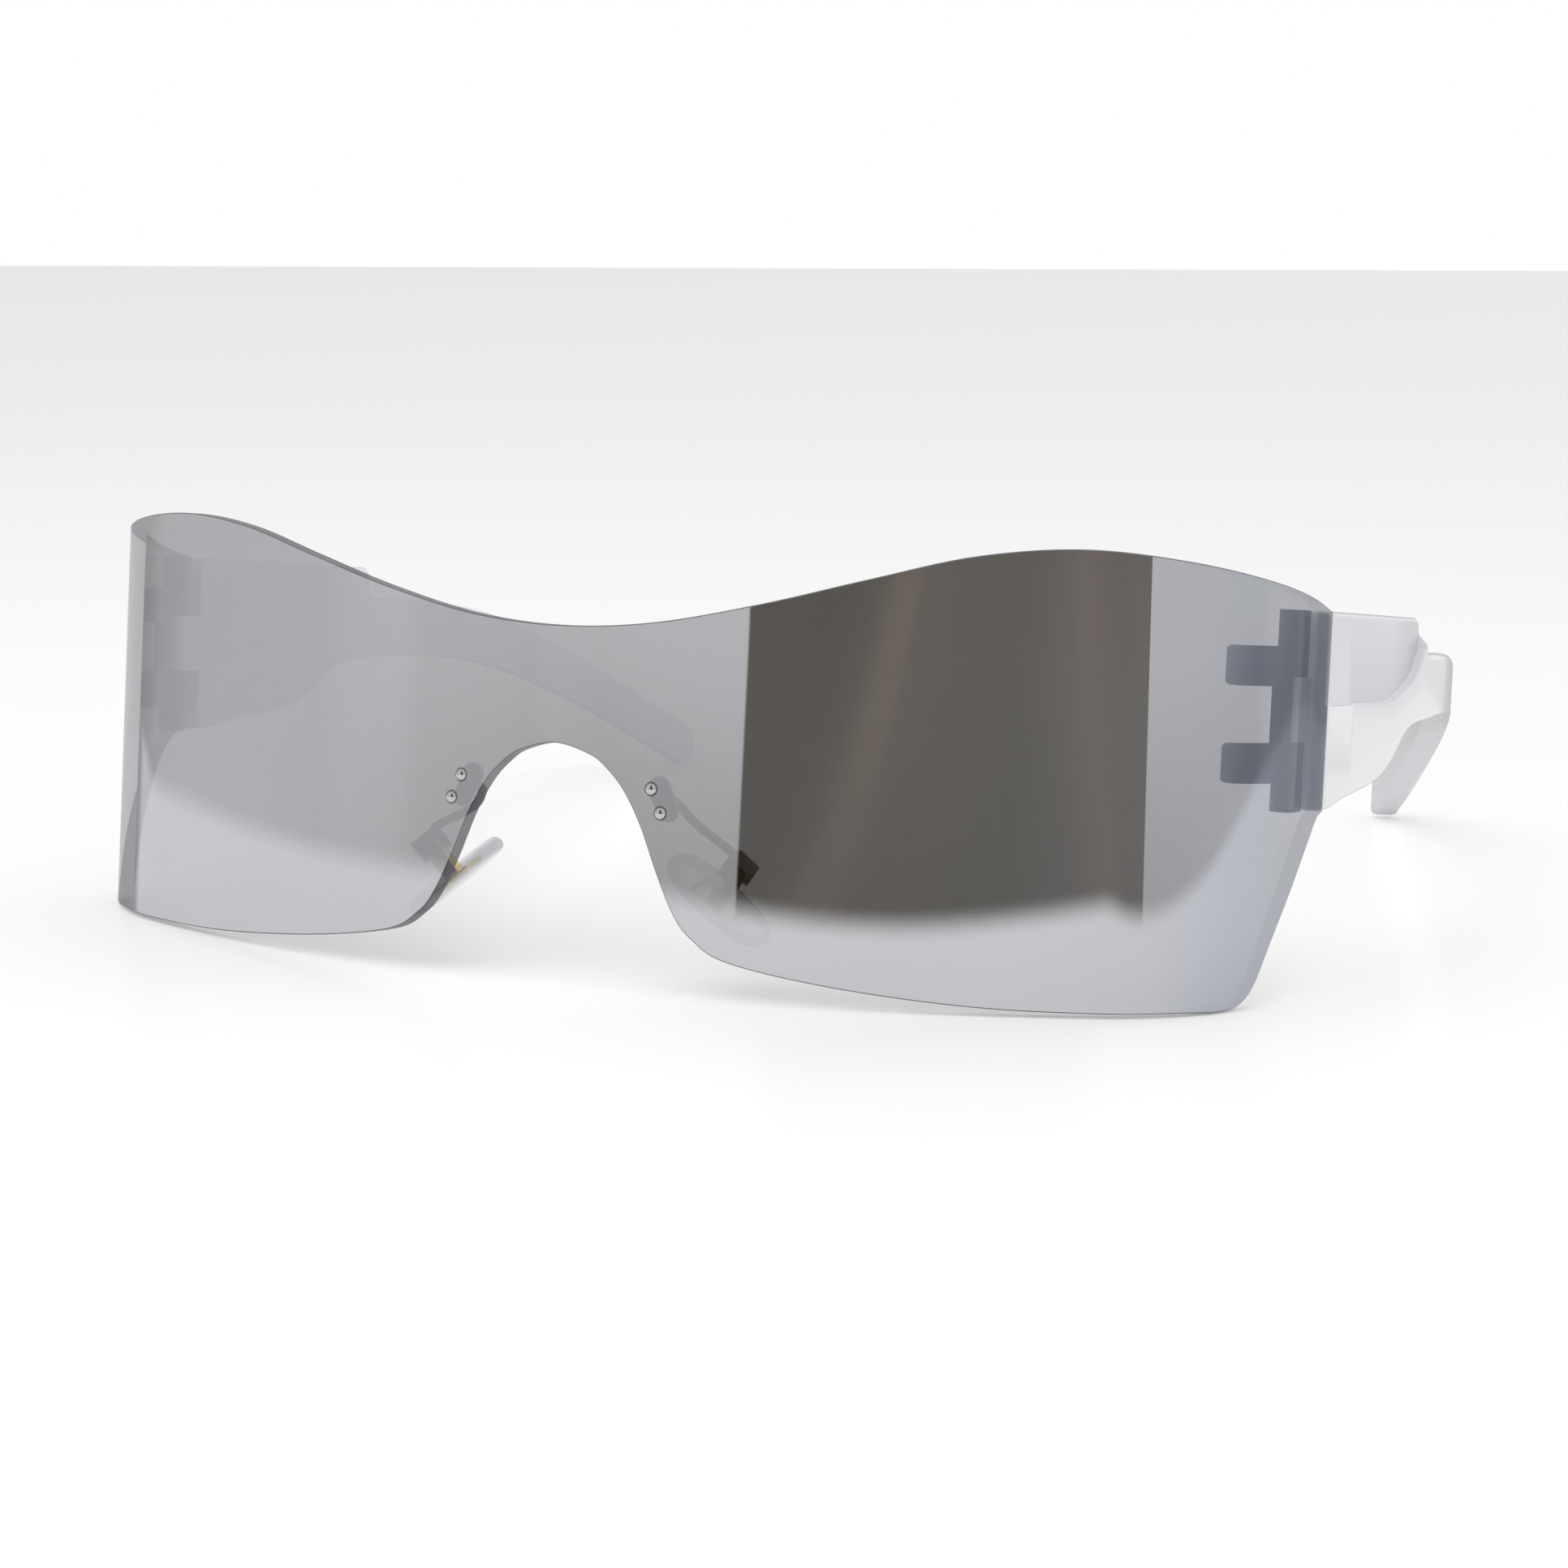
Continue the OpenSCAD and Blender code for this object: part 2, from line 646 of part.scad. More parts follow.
module endpiece_shape() {
    plate_end = lens_run - hinge_back + stop_gap;
    difference() {
        union() {
            band(prong_start, plate_end, plate_depth, plate_depth + plate_t, -end_drop, end_top);
            knuckle(-end_drop, knuckle_low_z);
            knuckle(knuckle_high_z, end_top);
        }
        band_cut(plate_start, end_top - upper_inset, end_top + over);
        band_cut(spine_start, lower_prong_z + prong_h, upper_prong_z);
        band_cut(plate_start, -end_drop - over, lower_prong_z);
        tip_cut(upper_prong_z);
        tip_cut(lower_prong_z);
        at_hinge(knuckle_low_z) translate([-2 * knuckle_r, -tongue_r - notch_gap, 0])
            cube([4 * knuckle_r, 2 * hinge_back, knuckle_high_z - knuckle_low_z]);
        at_hinge(-end_drop - over) cylinder(r = pin_r + seat_gap, h = end_top + end_drop + 2 * over);
        at_hinge(end_top - pin_head_h) cylinder(r = pin_head_d / 2 + turn_gap, h = pin_head_h + over);
    }
}

module hinge_screw_shape() {
    difference() {
        union() {
            at_hinge(-end_drop) cylinder(r = pin_r, h = end_top + end_drop - pin_head_h);
            at_hinge(end_top - pin_head_h) cylinder(r = pin_head_d / 2, h = pin_head_h);
        }
        at_hinge(end_top - slot_depth) translate([-pin_head_d, -slot_w / 2, 0])
            cube([2 * pin_head_d, slot_w, slot_depth + over]);
    }
}

module temple_shape() {
    low = knuckle_low_z + side_gap;
    tall = knuckle_high_z - knuckle_low_z - 2 * side_gap;
    boss_end = hinge_back + boss_len;
    difference() {
        union() {
            loft(temple_rings());
            at_hinge(low) linear_extrude(tall) {
                circle(tongue_r);
                polygon([
                    [-tongue_r, 0], [tongue_r, 0], [tongue_r, boss_end],
                    [half_w - temple_t + edge_r - hinge_x, boss_end], [-tongue_r, hinge_back]
                ]);
            }
        }
        at_hinge(low - over) cylinder(r = pin_r + turn_gap, h = tall + 2 * over);
    }
}

module sleeve_shape() {
    at_rivets() difference() {
        depth_rod(sleeve_r, 0, lens_t);
        depth_rod(sleeve_r - sleeve_wall, -over, lens_t + over);
    }
}

module rivet_shape() {
    dome_r = (pow(dome_d / 2, 2) + pow(dome_h, 2)) / (2 * dome_h);
    at_rivets() {
        intersection() {
            translate([0, dome_r - dome_h, 0]) sphere(dome_r);
            depth_rod(dome_d, -dome_h - over, 0);
        }
        depth_rod(rivet_r, -dome_h / 2, plate_rear + rivet_head_h);
        depth_rod(rivet_head_d / 2, plate_rear, plate_rear + rivet_head_h);
    }
}

module rivet_plate_shape() {
    difference() {
        on_lens(rivet_run, -rivet_drop) rotate([0, -rivet_slant, 0])
            translate([0, plate_front, 0]) rotate([-90, 0, 0]) linear_extrude(rivet_plate_t) hull() {
                translate([0, -rivet_pitch / 2]) circle(upper_lobe_r, $fn = 32);
                translate([0, rivet_pitch / 2]) circle(lower_lobe_r, $fn = 32);
            }
        at_rivets() depth_rod(rivet_r + seat_gap, 0, plate_rear + over);
    }
}

module pad_arm_shape() {
    path = smooth_path(wire_points);
    loft([for (i = [0:len(path) - 1]) wire_ring(path, i)]);
}

// Frame of the pad's pivot: x along the pad, y along the screw, z away from the nose
module at_pivot() { translate(pivot) rotate(pad_turn) children(); }

// Round bar along the pad screw
module screw_rod(r, from, to) {
    translate([0, from, 0]) rotate([-90, 0, 0]) cylinder(r = r, h = to - from);
}

module pad_box_shape() {
    at_pivot() difference() {
        translate([-box_w / 2, -box_half, -box_lip])
            cube([box_w, 2 * box_half, box_top + box_lip]);
        translate([-box_w, -box_gap, -box_lip - over])
            cube([2 * box_w, 2 * box_gap, box_back + box_lip + over]);
        screw_rod(pad_screw_d / 2 + seat_gap, -box_half - over, box_half + over);
    }
}

module pad_screw_shape() {
    at_pivot() difference() {
        union() {
            screw_rod(pad_screw_d / 2, -box_half, box_half);
            screw_rod(pad_head_d / 2, box_half, box_half + pad_head_h);
        }
        translate([-pad_head_d, box_half + pad_head_h / 2, -slot_w / 2])
            cube([2 * pad_head_d, pad_head_h, slot_w]);
    }
}

// Loop and boss of the pad's metal insert, about the pivot
module insert_solid(grow) {
    outer = [insert_len + 2 * grow, insert_w + 2 * grow];
    inner = [insert_len - 2 * insert_strip - 2 * grow, insert_w - 2 * insert_strip - 2 * grow];
    translate([0, 0, -pad_reach - insert_t / 2 - grow]) linear_extrude(insert_t + 2 * grow)
        difference() {
            square(outer, center = true);
            square(inner, center = true);
        }
    translate([-boss_w / 2 - grow, -insert_w / 2, -pad_reach - insert_t / 2 - grow])
        cube([boss_w + 2 * grow, insert_w, insert_t + 2 * grow]);
    translate([-boss_w / 2 - grow, -boss_t / 2 - grow, -pad_reach])
        cube([boss_w + 2 * grow, boss_t + 2 * grow, pad_reach]);
    screw_rod(boss_w / 2 + grow, -boss_t / 2 - grow, boss_t / 2 + grow);
}

module pad_insert_shape() {
    at_pivot() difference() {
        insert_solid(0);
        screw_rod(pad_screw_d / 2 + turn_gap, -boss_t, boss_t);
    }
}

module nose_pad_shape() {
    rim = pad_t / 2;
    at_pivot() difference() {
        hull() {
            translate([0, 0, -pad_reach - rim / 3]) linear_extrude(2 * rim / 3)
                polygon(oval(pad_len, pad_w));
            translate([0, 0, -pad_reach - rim]) linear_extrude(pad_t)
                polygon(oval(pad_len - pad_t, pad_w - pad_t));
        }
        insert_solid(seat_gap);
    }
}

module shield_lens() { color([0.66, 0.67, 0.69]) seated() lens_shape(); }
module endpiece_left() { color([0.2, 0.2, 0.23]) left_side() endpiece_shape(); }
module endpiece_right() { color([0.2, 0.2, 0.23]) right_side() endpiece_shape(); }
module hinge_screw_left() { color([0.7, 0.7, 0.72]) left_side() hinge_screw_shape(); }
module hinge_screw_right() { color([0.7, 0.7, 0.72]) right_side() hinge_screw_shape(); }
module temple_left() { color([0.94, 0.94, 0.98]) left_side() temple_shape(); }
module temple_right() { color([0.94, 0.94, 0.98]) right_side() temple_shape(); }
module lens_sleeves_left() { color([0.85, 0.9, 0.92]) left_side() sleeve_shape(); }
module lens_sleeves_right() { color([0.85, 0.9, 0.92]) right_side() sleeve_shape(); }
module lens_rivets_left() { color([0.8, 0.8, 0.8]) left_side() rivet_shape(); }
module lens_rivets_right() { color([0.8, 0.8, 0.8]) right_side() rivet_shape(); }
module rivet_plate_left() { color([0.62, 0.62, 0.64]) left_side() rivet_plate_shape(); }
module rivet_plate_right() { color([0.62, 0.62, 0.64]) right_side() rivet_plate_shape(); }
module pad_arm_left() { color([0.62, 0.62, 0.64]) left_side() pad_arm_shape(); }
module pad_arm_right() { color([0.62, 0.62, 0.64]) right_side() pad_arm_shape(); }
module pad_box_left() { color([0.62, 0.62, 0.64]) left_side() pad_box_shape(); }
module pad_box_right() { color([0.62, 0.62, 0.64]) right_side() pad_box_shape(); }
module pad_screw_left() { color([0.7, 0.7, 0.72]) left_side() pad_screw_shape(); }
module pad_screw_right() { color([0.7, 0.7, 0.72]) right_side() pad_screw_shape(); }
module pad_insert_left() { color([0.83, 0.66, 0.25]) left_side() pad_insert_shape(); }
module pad_insert_right() { color([0.83, 0.66, 0.25]) right_side() pad_insert_shape(); }
module nose_pad_left() { color([0.9, 0.92, 0.93]) left_side() nose_pad_shape(); }
module nose_pad_right() { color([0.9, 0.92, 0.93]) right_side() nose_pad_shape(); }

shield_lens();
endpiece_left();
endpiece_right();
hinge_screw_left();
hinge_screw_right();
temple_left();
temple_right();
lens_sleeves_left();
lens_sleeves_right();
lens_rivets_left();
lens_rivets_right();
rivet_plate_left();
rivet_plate_right();
pad_arm_left();
pad_arm_right();
pad_box_left();
pad_box_right();
pad_screw_left();
pad_screw_right();
pad_insert_left();
pad_insert_right();
nose_pad_left();
nose_pad_right();
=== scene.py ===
import json
from math import asin, atan, atan2, cos, pi, radians, sin, sqrt

import bmesh
import bpy
import numpy as np
from mathutils import Matrix, Vector


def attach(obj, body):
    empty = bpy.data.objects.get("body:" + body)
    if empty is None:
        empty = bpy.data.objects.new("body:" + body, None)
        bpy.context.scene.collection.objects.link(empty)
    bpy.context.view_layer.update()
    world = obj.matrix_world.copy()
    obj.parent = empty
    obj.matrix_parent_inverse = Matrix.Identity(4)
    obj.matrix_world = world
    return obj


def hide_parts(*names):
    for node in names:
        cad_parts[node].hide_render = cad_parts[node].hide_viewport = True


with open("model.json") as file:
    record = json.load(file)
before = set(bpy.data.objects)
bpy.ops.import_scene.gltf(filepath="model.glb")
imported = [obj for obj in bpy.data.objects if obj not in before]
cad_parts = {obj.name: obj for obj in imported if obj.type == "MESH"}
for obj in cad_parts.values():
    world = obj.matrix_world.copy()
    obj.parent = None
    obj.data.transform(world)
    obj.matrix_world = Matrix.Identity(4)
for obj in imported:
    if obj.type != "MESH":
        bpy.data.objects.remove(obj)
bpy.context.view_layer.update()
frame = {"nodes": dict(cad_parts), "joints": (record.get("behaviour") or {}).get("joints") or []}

scene = bpy.context.scene
scene.view_settings.view_transform = "Standard"

# Camera
# It stands about 0.4 m in front, round to the wearer's left, and looks slightly
# down through a long lens, as the photograph was taken.
# Place in metres, turns, and focal length in millimetres
camera_place = (0.17664, -0.37441, 0.08255)
camera_azimuth = radians(25.844)
camera_drop = radians(9.79)
camera_roll = radians(-0.419)
camera_focal = 78.955
camera_data = bpy.data.cameras.new("camera")
camera_data.lens = camera_focal
camera = bpy.data.objects.new("camera", camera_data)
scene.collection.objects.link(camera)
camera.matrix_world = (
    Matrix.Translation(camera_place)
    @ Matrix.Rotation(camera_azimuth, 4, "Z")
    @ Matrix.Rotation(pi / 2 - camera_drop, 4, "X")
    @ Matrix.Rotation(camera_roll, 4, "Z")
)
scene.camera = camera

# Studio
# A white sweep all round, an even room light, and in front, opposite the lens,
# a dark folded curtain that only the mirror sees, above a white table top.
room_light = 0.86
# The curtain's two sides, in degrees round from the front, and how far its right side
# shifts back for each degree up
curtain_from, curtain_to, curtain_lean = -10.9, 37.8, 0.6
# Its folds lean: how far they shift for each degree below the eye line, how that changes
# with each degree round, and the eye line's height
fold_slant, slant_change, eye_rise = 1.15, -0.08, 5.6
# The table's far edge: degrees that it rises, its middle, degrees either way that it stays
# level, and its fall for each degree past them
table_line, table_middle, table_half, table_fall = 1.31, -1.5, 23.8, 0.072
# Where it ends on the left, and the degrees over which it fades out there
table_end, end_fade = -90.0, 7.0
# The wall darkens by this share towards the table, from this many degrees above it. The
# shade begins at the first of these directions, and is whole from the second
foot_shade, foot_rise, shade_begins, shade_whole = 0.33, 5.0, -70.0, -20.0
# Blur of the painted edges, in degrees
softness = 0.3
# Curtain's folds: degrees round from the front, and their colours
curtain_folds = (
    (-11, (0.04, 0.02, 0.003)), (-4, (0.035, 0.02, 0.004)), (-1, (0.05, 0.03, 0.012)),
    (0.8, (0.09, 0.065, 0.032)), (2.1, (0.17, 0.115, 0.076)), (3.5, (0.105, 0.07, 0.045)),
    (6.5, (0.08, 0.06, 0.035)), (14, (0.068, 0.055, 0.035)), (18, (0.088, 0.072, 0.055)),
    (20, (0.145, 0.095, 0.075)), (21.5, (0.1, 0.065, 0.045)), (24, (0.068, 0.045, 0.03)),
    (36, (0.06, 0.045, 0.025)),
)
# Tone of the rest of the room: degrees round from the front, and the tone
room_tones = (
    (-180, 0.45), (-120, 0.4), (-95, 0.5), (-80, 0.66), (-75, 0.7), (-56, 0.72),
    (-52, 0.77), (-46, 0.79), (-44, 0.73),
    (-34, 0.735), (-33, 0.71), (-30, 0.75), (-24, 0.74), (-20, 0.75), (40, 0.71), (60, 0.72), (97, 0.74),
    (104, 0.9), (112, 1.0), (180, 1.0),
)


def join(tree, kind, *inputs, **settings):
    """A shader or geometry node with its settings, fed by sockets or values."""
    node = tree.nodes.new(kind)
    for key, value in settings.items():
        setattr(node, key, value)
    for index, value in enumerate(inputs):
        if isinstance(value, bpy.types.NodeSocket):
            tree.links.new(value, node.inputs[index])
        elif value is not None:
            node.inputs[index].default_value = value
    return node


def sums(tree, operation, *inputs):
    """Result of one Math node."""
    return join(tree, "ShaderNodeMath", *inputs, operation=operation).outputs[0]


def step(tree, value, start, end, rising="SMOOTHSTEP"):
    """Rise from 0 to 1 as the value goes from start to end, smooth if not asked otherwise."""
    node = join(tree, "ShaderNodeMapRange", value, start, end, interpolation_type=rising)
    return node.outputs["Result"]


def ramp(tree, factor, stops):
    """Colour ramp with the given places and colours."""
    node = join(tree, "ShaderNodeValToRGB", factor)
    elements = node.color_ramp.elements
    while len(elements) < len(stops):
        elements.new(0.5)
    for element, (place, colour) in zip(elements, stops):
        element.position = place
        element.color = (*colour, 1)
    return node.outputs["Color"]


def mixed(tree, factor, first, second):
    """Mix of two colours."""
    node = join(tree, "ShaderNodeMix", data_type="RGBA")
    for index, value in ((0, factor), (6, first), (7, second)):
        if isinstance(value, bpy.types.NodeSocket):
            tree.links.new(value, node.inputs[index])
        else:
            node.inputs[index].default_value = value
    return node.outputs[2]


def round_share(degrees):
    """Place on a colour ramp of a direction round the room."""
    return (degrees / 180 + 1) / 2


world = bpy.data.worlds.new("studio")
scene.world = world
world.use_nodes = True
sky = world.node_tree
sky.nodes.clear()
way = join(sky, "ShaderNodeSeparateXYZ", join(sky, "ShaderNodeTexCoord").outputs["Generated"])
back_to_front = sums(sky, "MULTIPLY", way.outputs["Y"], -1.0)
round_way = sums(sky, "DEGREES", sums(sky, "ARCTAN2", way.outputs["X"], back_to_front))
rise = sums(sky, "DEGREES", sums(sky, "ARCSINE", way.outputs["Z"]))
share = step(sky, round_way, -180.0, 180.0, "LINEAR")
below_eye = sums(sky, "SUBTRACT", eye_rise, rise)
lean_there = sums(sky, "MULTIPLY_ADD", round_way, slant_change, fold_slant)
fold_way = sums(sky, "MULTIPLY_ADD", lean_there, below_eye, round_way)
fold_share = step(sky, fold_way, -180.0, 180.0, "LINEAR")
folds = ramp(sky, fold_share, [(round_share(a), c) for a, c in curtain_folds])
tones = ramp(sky, share, [(round_share(a), (t, t, t)) for a, t in room_tones])
right_edge = sums(sky, "MULTIPLY_ADD", rise, -curtain_lean, curtain_to)
past_left = step(sky, round_way, curtain_from - softness / 2, curtain_from + softness / 2)
before_right = step(sky, sums(sky, "SUBTRACT", right_edge, round_way), -softness / 2, softness / 2)
room = mixed(sky, sums(sky, "MULTIPLY", past_left, before_right), tones, folds)
aside = sums(sky, "ABSOLUTE", sums(sky, "SUBTRACT", round_way, table_middle))
past_level = sums(sky, "SUBTRACT", aside, table_half)
line = sums(sky, "MULTIPLY_ADD", sums(sky, "MAXIMUM", past_level, 0.0), -table_fall, table_line)
over_table = sums(sky, "SUBTRACT", rise, line)
above = step(sky, over_table, -softness, softness)
near_table = step(sky, over_table, foot_rise, 0.0)
shaded = sums(sky, "MULTIPLY", near_table, step(sky, round_way, shade_begins, shade_whole))
room = mixed(sky, sums(sky, "MULTIPLY", shaded, foot_shade), room, (0, 0, 0, 1))
past_table = step(sky, round_way, table_end, table_end - end_fade)
seen = mixed(sky, sums(sky, "MAXIMUM", above, past_table), (1, 1, 1, 1), room)
path = join(sky, "ShaderNodeLightPath")
through = sums(sky, "MAXIMUM", path.outputs["Is Glossy Ray"], path.outputs["Is Transmission Ray"])
lit = mixed(sky, through, (room_light, room_light, room_light, 1), seen)
shown = mixed(sky, path.outputs["Is Camera Ray"], lit, (1, 1, 1, 1))
background = join(sky, "ShaderNodeBackground", shown, 1.0)
join(sky, "ShaderNodeOutputWorld", background.outputs[0])

# Softbox: watts, metres across, and its place
lamp_power, lamp_size = 2.2, 0.9
lamp_place = Vector((-0.25, -0.35, 0.9))
lamp_data = bpy.data.lights.new("softbox", "AREA")
lamp_data.energy = lamp_power
lamp_data.size = lamp_size
lamp = bpy.data.objects.new("softbox", lamp_data)
lamp.matrix_world = Matrix.Translation(lamp_place) @ lamp_place.to_track_quat("Z", "Y").to_matrix().to_4x4()
lamp.visible_glossy = False
scene.collection.objects.link(lamp)

# Floor: metres from its middle to its sides, its finish, and the light that only the camera sees
floor_half = 3
floor_tone, floor_roughness, floor_specular, floor_glow = 0.93, 0.2, 0.05, 0.17
floor_mesh = bpy.data.meshes.new("floor")
floor_mesh.from_pydata(
    [(x * floor_half, y * floor_half, 0) for x, y in ((-1, -1), (1, -1), (1, 1), (-1, 1))],
    [], [(0, 1, 2, 3)],
)
floor = bpy.data.objects.new("floor", floor_mesh)
scene.collection.objects.link(floor)
floor.visible_glossy = False
table_top = bpy.data.materials.new("table_top")
table_top.use_nodes = True
tree = table_top.node_tree
gloss = tree.nodes["Principled BSDF"]
gloss.inputs["Base Color"].default_value = (floor_tone, floor_tone, floor_tone, 1)
gloss.inputs["Roughness"].default_value = floor_roughness
gloss.inputs["Specular IOR Level"].default_value = floor_specular
to_camera = join(tree, "ShaderNodeLightPath").outputs["Is Camera Ray"]
glow = join(tree, "ShaderNodeEmission", (1, 1, 1, 1), sums(tree, "MULTIPLY", to_camera, floor_glow))
both = join(tree, "ShaderNodeAddShader", gloss.outputs[0], glow.outputs[0])
tree.links.new(both.outputs[0], tree.nodes["Material Output"].inputs["Surface"])
floor_mesh.materials.append(table_top)

# Lens
# One shield of smoke-tinted plastic with a silver coat in front, thinner and bluer round the ends.
# It is cut flat, its edge is broken all round, and then it is bent round the face.
# Sizes here and below are millimetres in the glasses' own upright frame.
lens_w, lens_t = 146, 1.8
front_r, corner_r, corner_tight_r = 160, 25, 20.4
corner_turn = radians(43)
end_run = 3.1
# Its edge: heights from a level line through the bridge, and runs along the front face
bridge_top, brow_top, end_top = 7.5, 17.7, 12.6
arch_drop, lobe_drop, end_drop = 4.9, 29.2, 8.4
arch_run, corner_run = 20.6, 17.3
# Width of the broken edge, and the mesh's column spacing and rows
edge_break, column_pitch, lens_rows = 0.12, 0.5, 14
brow_shares = (
    (0, 0), (0.12, 0.075), (0.25, 0.31), (0.38, 0.615), (0.5, 0.885),
    (0.62, 1), (0.74, 0.93), (0.87, 0.745),
)
arch_shares = (
    (0, 0), (0.2, 0.04), (0.3, 0.095), (0.4, 0.185), (0.5, 0.33),
    (0.6, 0.53), (0.7, 0.7), (0.8, 0.795), (1, 0.885),
)
lobe_shares = ((0.22, 0.955), (0.5, 0.995), (0.75, 0.992), (0.92, 0.975))
corner_shares = (
    (0, 0.965), (0.14, 0.93), (0.25, 0.835), (0.38, 0.62), (0.55, 0.38),
    (0.72, 0.175), (0.88, 0.04),
)
half_w = lens_w / 2
ease_r, tighten_r = front_r - corner_r, corner_r - corner_tight_r
front_turn = asin((half_w - corner_tight_r - tighten_r * sin(corner_turn)) / ease_r)
# Arcs of the bend, from the middle out: radius and turn of each
bend_arcs = (
    (front_r, front_turn), (corner_r, corner_turn - front_turn),
    (corner_tight_r, pi / 2 - corner_turn),
)
curved_run = sum(radius * turn for radius, turn in bend_arcs)
lens_run = curved_run + end_run

# Rivet holes: the middle of each pair, their spacing, slant and width
rivet_run, rivet_drop, rivet_pitch = 12, 10.2, 2.7
rivet_slant = radians(25)
lens_hole_d = 1.5


def span_point(a, b, c, d, u):
    """Point at share u of the span from b to c on a smooth line through a, b, c, d."""
    return (2 * b + (c - a) * u + (2 * a - 5 * b + 4 * c - d) * u * u
            + (3 * b - a - 3 * c + d) * u ** 3) / 2


def smooth_line(points, level=True, spans=24):
    """Smooth line through points, level where it starts if asked."""
    points = np.array(points, float)
    first = 2 * points[0] - points[1]
    if level:
        first[-1] = points[1][-1]
    row = np.vstack([first, points, 2 * points[-1] - points[-2]])
    line = [span_point(*row[i:i + 4], j / spans) for i in range(len(points) - 1) for j in range(spans)]
    return np.array([*line, points[-1]])


def bend_point(run, depth):
    """Place in plan of a point of the flat lens, at a run from the middle and a depth."""
    x = y = turn = 0
    left = abs(run)
    for radius, whole in bend_arcs:
        part = min(left / radius, whole)
        x += radius * (sin(turn + part) - sin(turn))
        y -= radius * (cos(turn + part) - cos(turn))
        turn += part
        left -= radius * part
    x += left * cos(turn) - depth * sin(turn)
    y += left * sin(turn) + depth * cos(turn)
    return (-x if run < 0 else x), y


lens_end_y = bend_point(lens_run, 0)[1]
# The outline keeps this much inside the solid's, whose own curves are cut a little shorter
outline_inset = 0.03
eye_run = lens_run - corner_run - arch_run
lobe_span = lobe_drop - arch_drop
top_line = smooth_line(
    [(a * lens_run, bridge_top + b * (brow_top - bridge_top)) for a, b in brow_shares]
    + [(lens_run, end_top)]
)
top_line[:, 1] -= outline_inset
bottom_line = smooth_line(
    [(a * arch_run, -arch_drop - b * lobe_span) for a, b in arch_shares]
    + [(arch_run + a * eye_run, -arch_drop - b * lobe_span) for a, b in lobe_shares]
    + [(lens_run - corner_run * (1 - a), -end_drop - b * (lobe_drop - end_drop)) for a, b in corner_shares]
    + [(lens_run, -end_drop)]
)
bottom_line[:, 1] += outline_inset

# The seat that the whole assembly rests in: the hinge gives its lean and its place
fold = next(j for j in frame["joints"] if j["name"] == "temple_left_fold")
hinge_back, stop_gap, bond_gap, knuckle_r = 4.2, 0.15, 0.05, 1.3
hinge_x = half_w - lens_t - bond_gap - knuckle_r
hinge_y = lens_end_y + stop_gap - hinge_back
lean = atan2(fold["axis"][1], fold["axis"][2])
seat = Matrix.Rotation(-lean, 4, "X") @ Matrix.Scale(0.001, 4)
hinge_middle = Vector((hinge_x, hinge_y, (end_top - end_drop) / 2))
seat = Matrix.Translation(Vector(fold["pos_m"]) - seat @ hinge_middle) @ seat
mirror_x = Matrix.Scale(-1, 4, (1, 0, 0))


def crease(mesh, angle=radians(30)):
    """Smooth shading, with sharp edges where two faces meet at more than the angle."""
    bm = bmesh.new()
    bm.from_mesh(mesh)
    for face in bm.faces:
        face.smooth = True
    for edge in bm.edges:
        edge.smooth = edge.calc_face_angle(pi) < angle
    bm.to_mesh(mesh)
    bm.free()
    return mesh


def mesh_of(bm, name):
    """The mesh that was edited, as plain mesh data."""
    mesh = bpy.data.meshes.new(name)
    bm.to_mesh(mesh)
    bm.free()
    return mesh


def bridge(bm, loops):
    """Faces between each closed loop and the next, which has as many points."""
    count = len(loops[0])
    for near, far in zip(loops, loops[1:]):
        for k in range(count):
            after = (k + 1) % count
            bm.faces.new((near[k], far[k], far[after], near[after]))


def dress(mesh, *materials):
    """Gives a mesh these materials and no others."""
    mesh.materials.clear()
    for material in materials:
        mesh.materials.append(material)


def settle(name, mesh, body, material, node, side=1):
    """Makes a mesh a piece that shows for a node, on its body; side -1 mirrors it. A mesh
    that is dressed already is given no material here."""
    mesh = mesh.copy()
    if side < 0:
        mesh.transform(mirror_x)
        mesh.flip_normals()
    mesh.transform(seat)
    mesh.name = name
    piece = bpy.data.objects.new(name, mesh)
    scene.collection.objects.link(piece)
    if material:
        dress(mesh, material)
    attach(piece, body)
    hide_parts(node)


def plain_object(name, mesh):
    """A helper object that is in the scene only while a mesh is made."""
    found = bpy.data.objects.new(name, mesh)
    scene.collection.objects.link(found)
    return found


def result_of(maker):
    """Plain mesh of an object with its modifiers; the helper object goes."""
    graph = bpy.context.evaluated_depsgraph_get()
    mesh = bpy.data.meshes.new_from_object(maker.evaluated_get(graph))
    maker.modifiers.clear()
    bpy.data.objects.remove(maker)
    return mesh


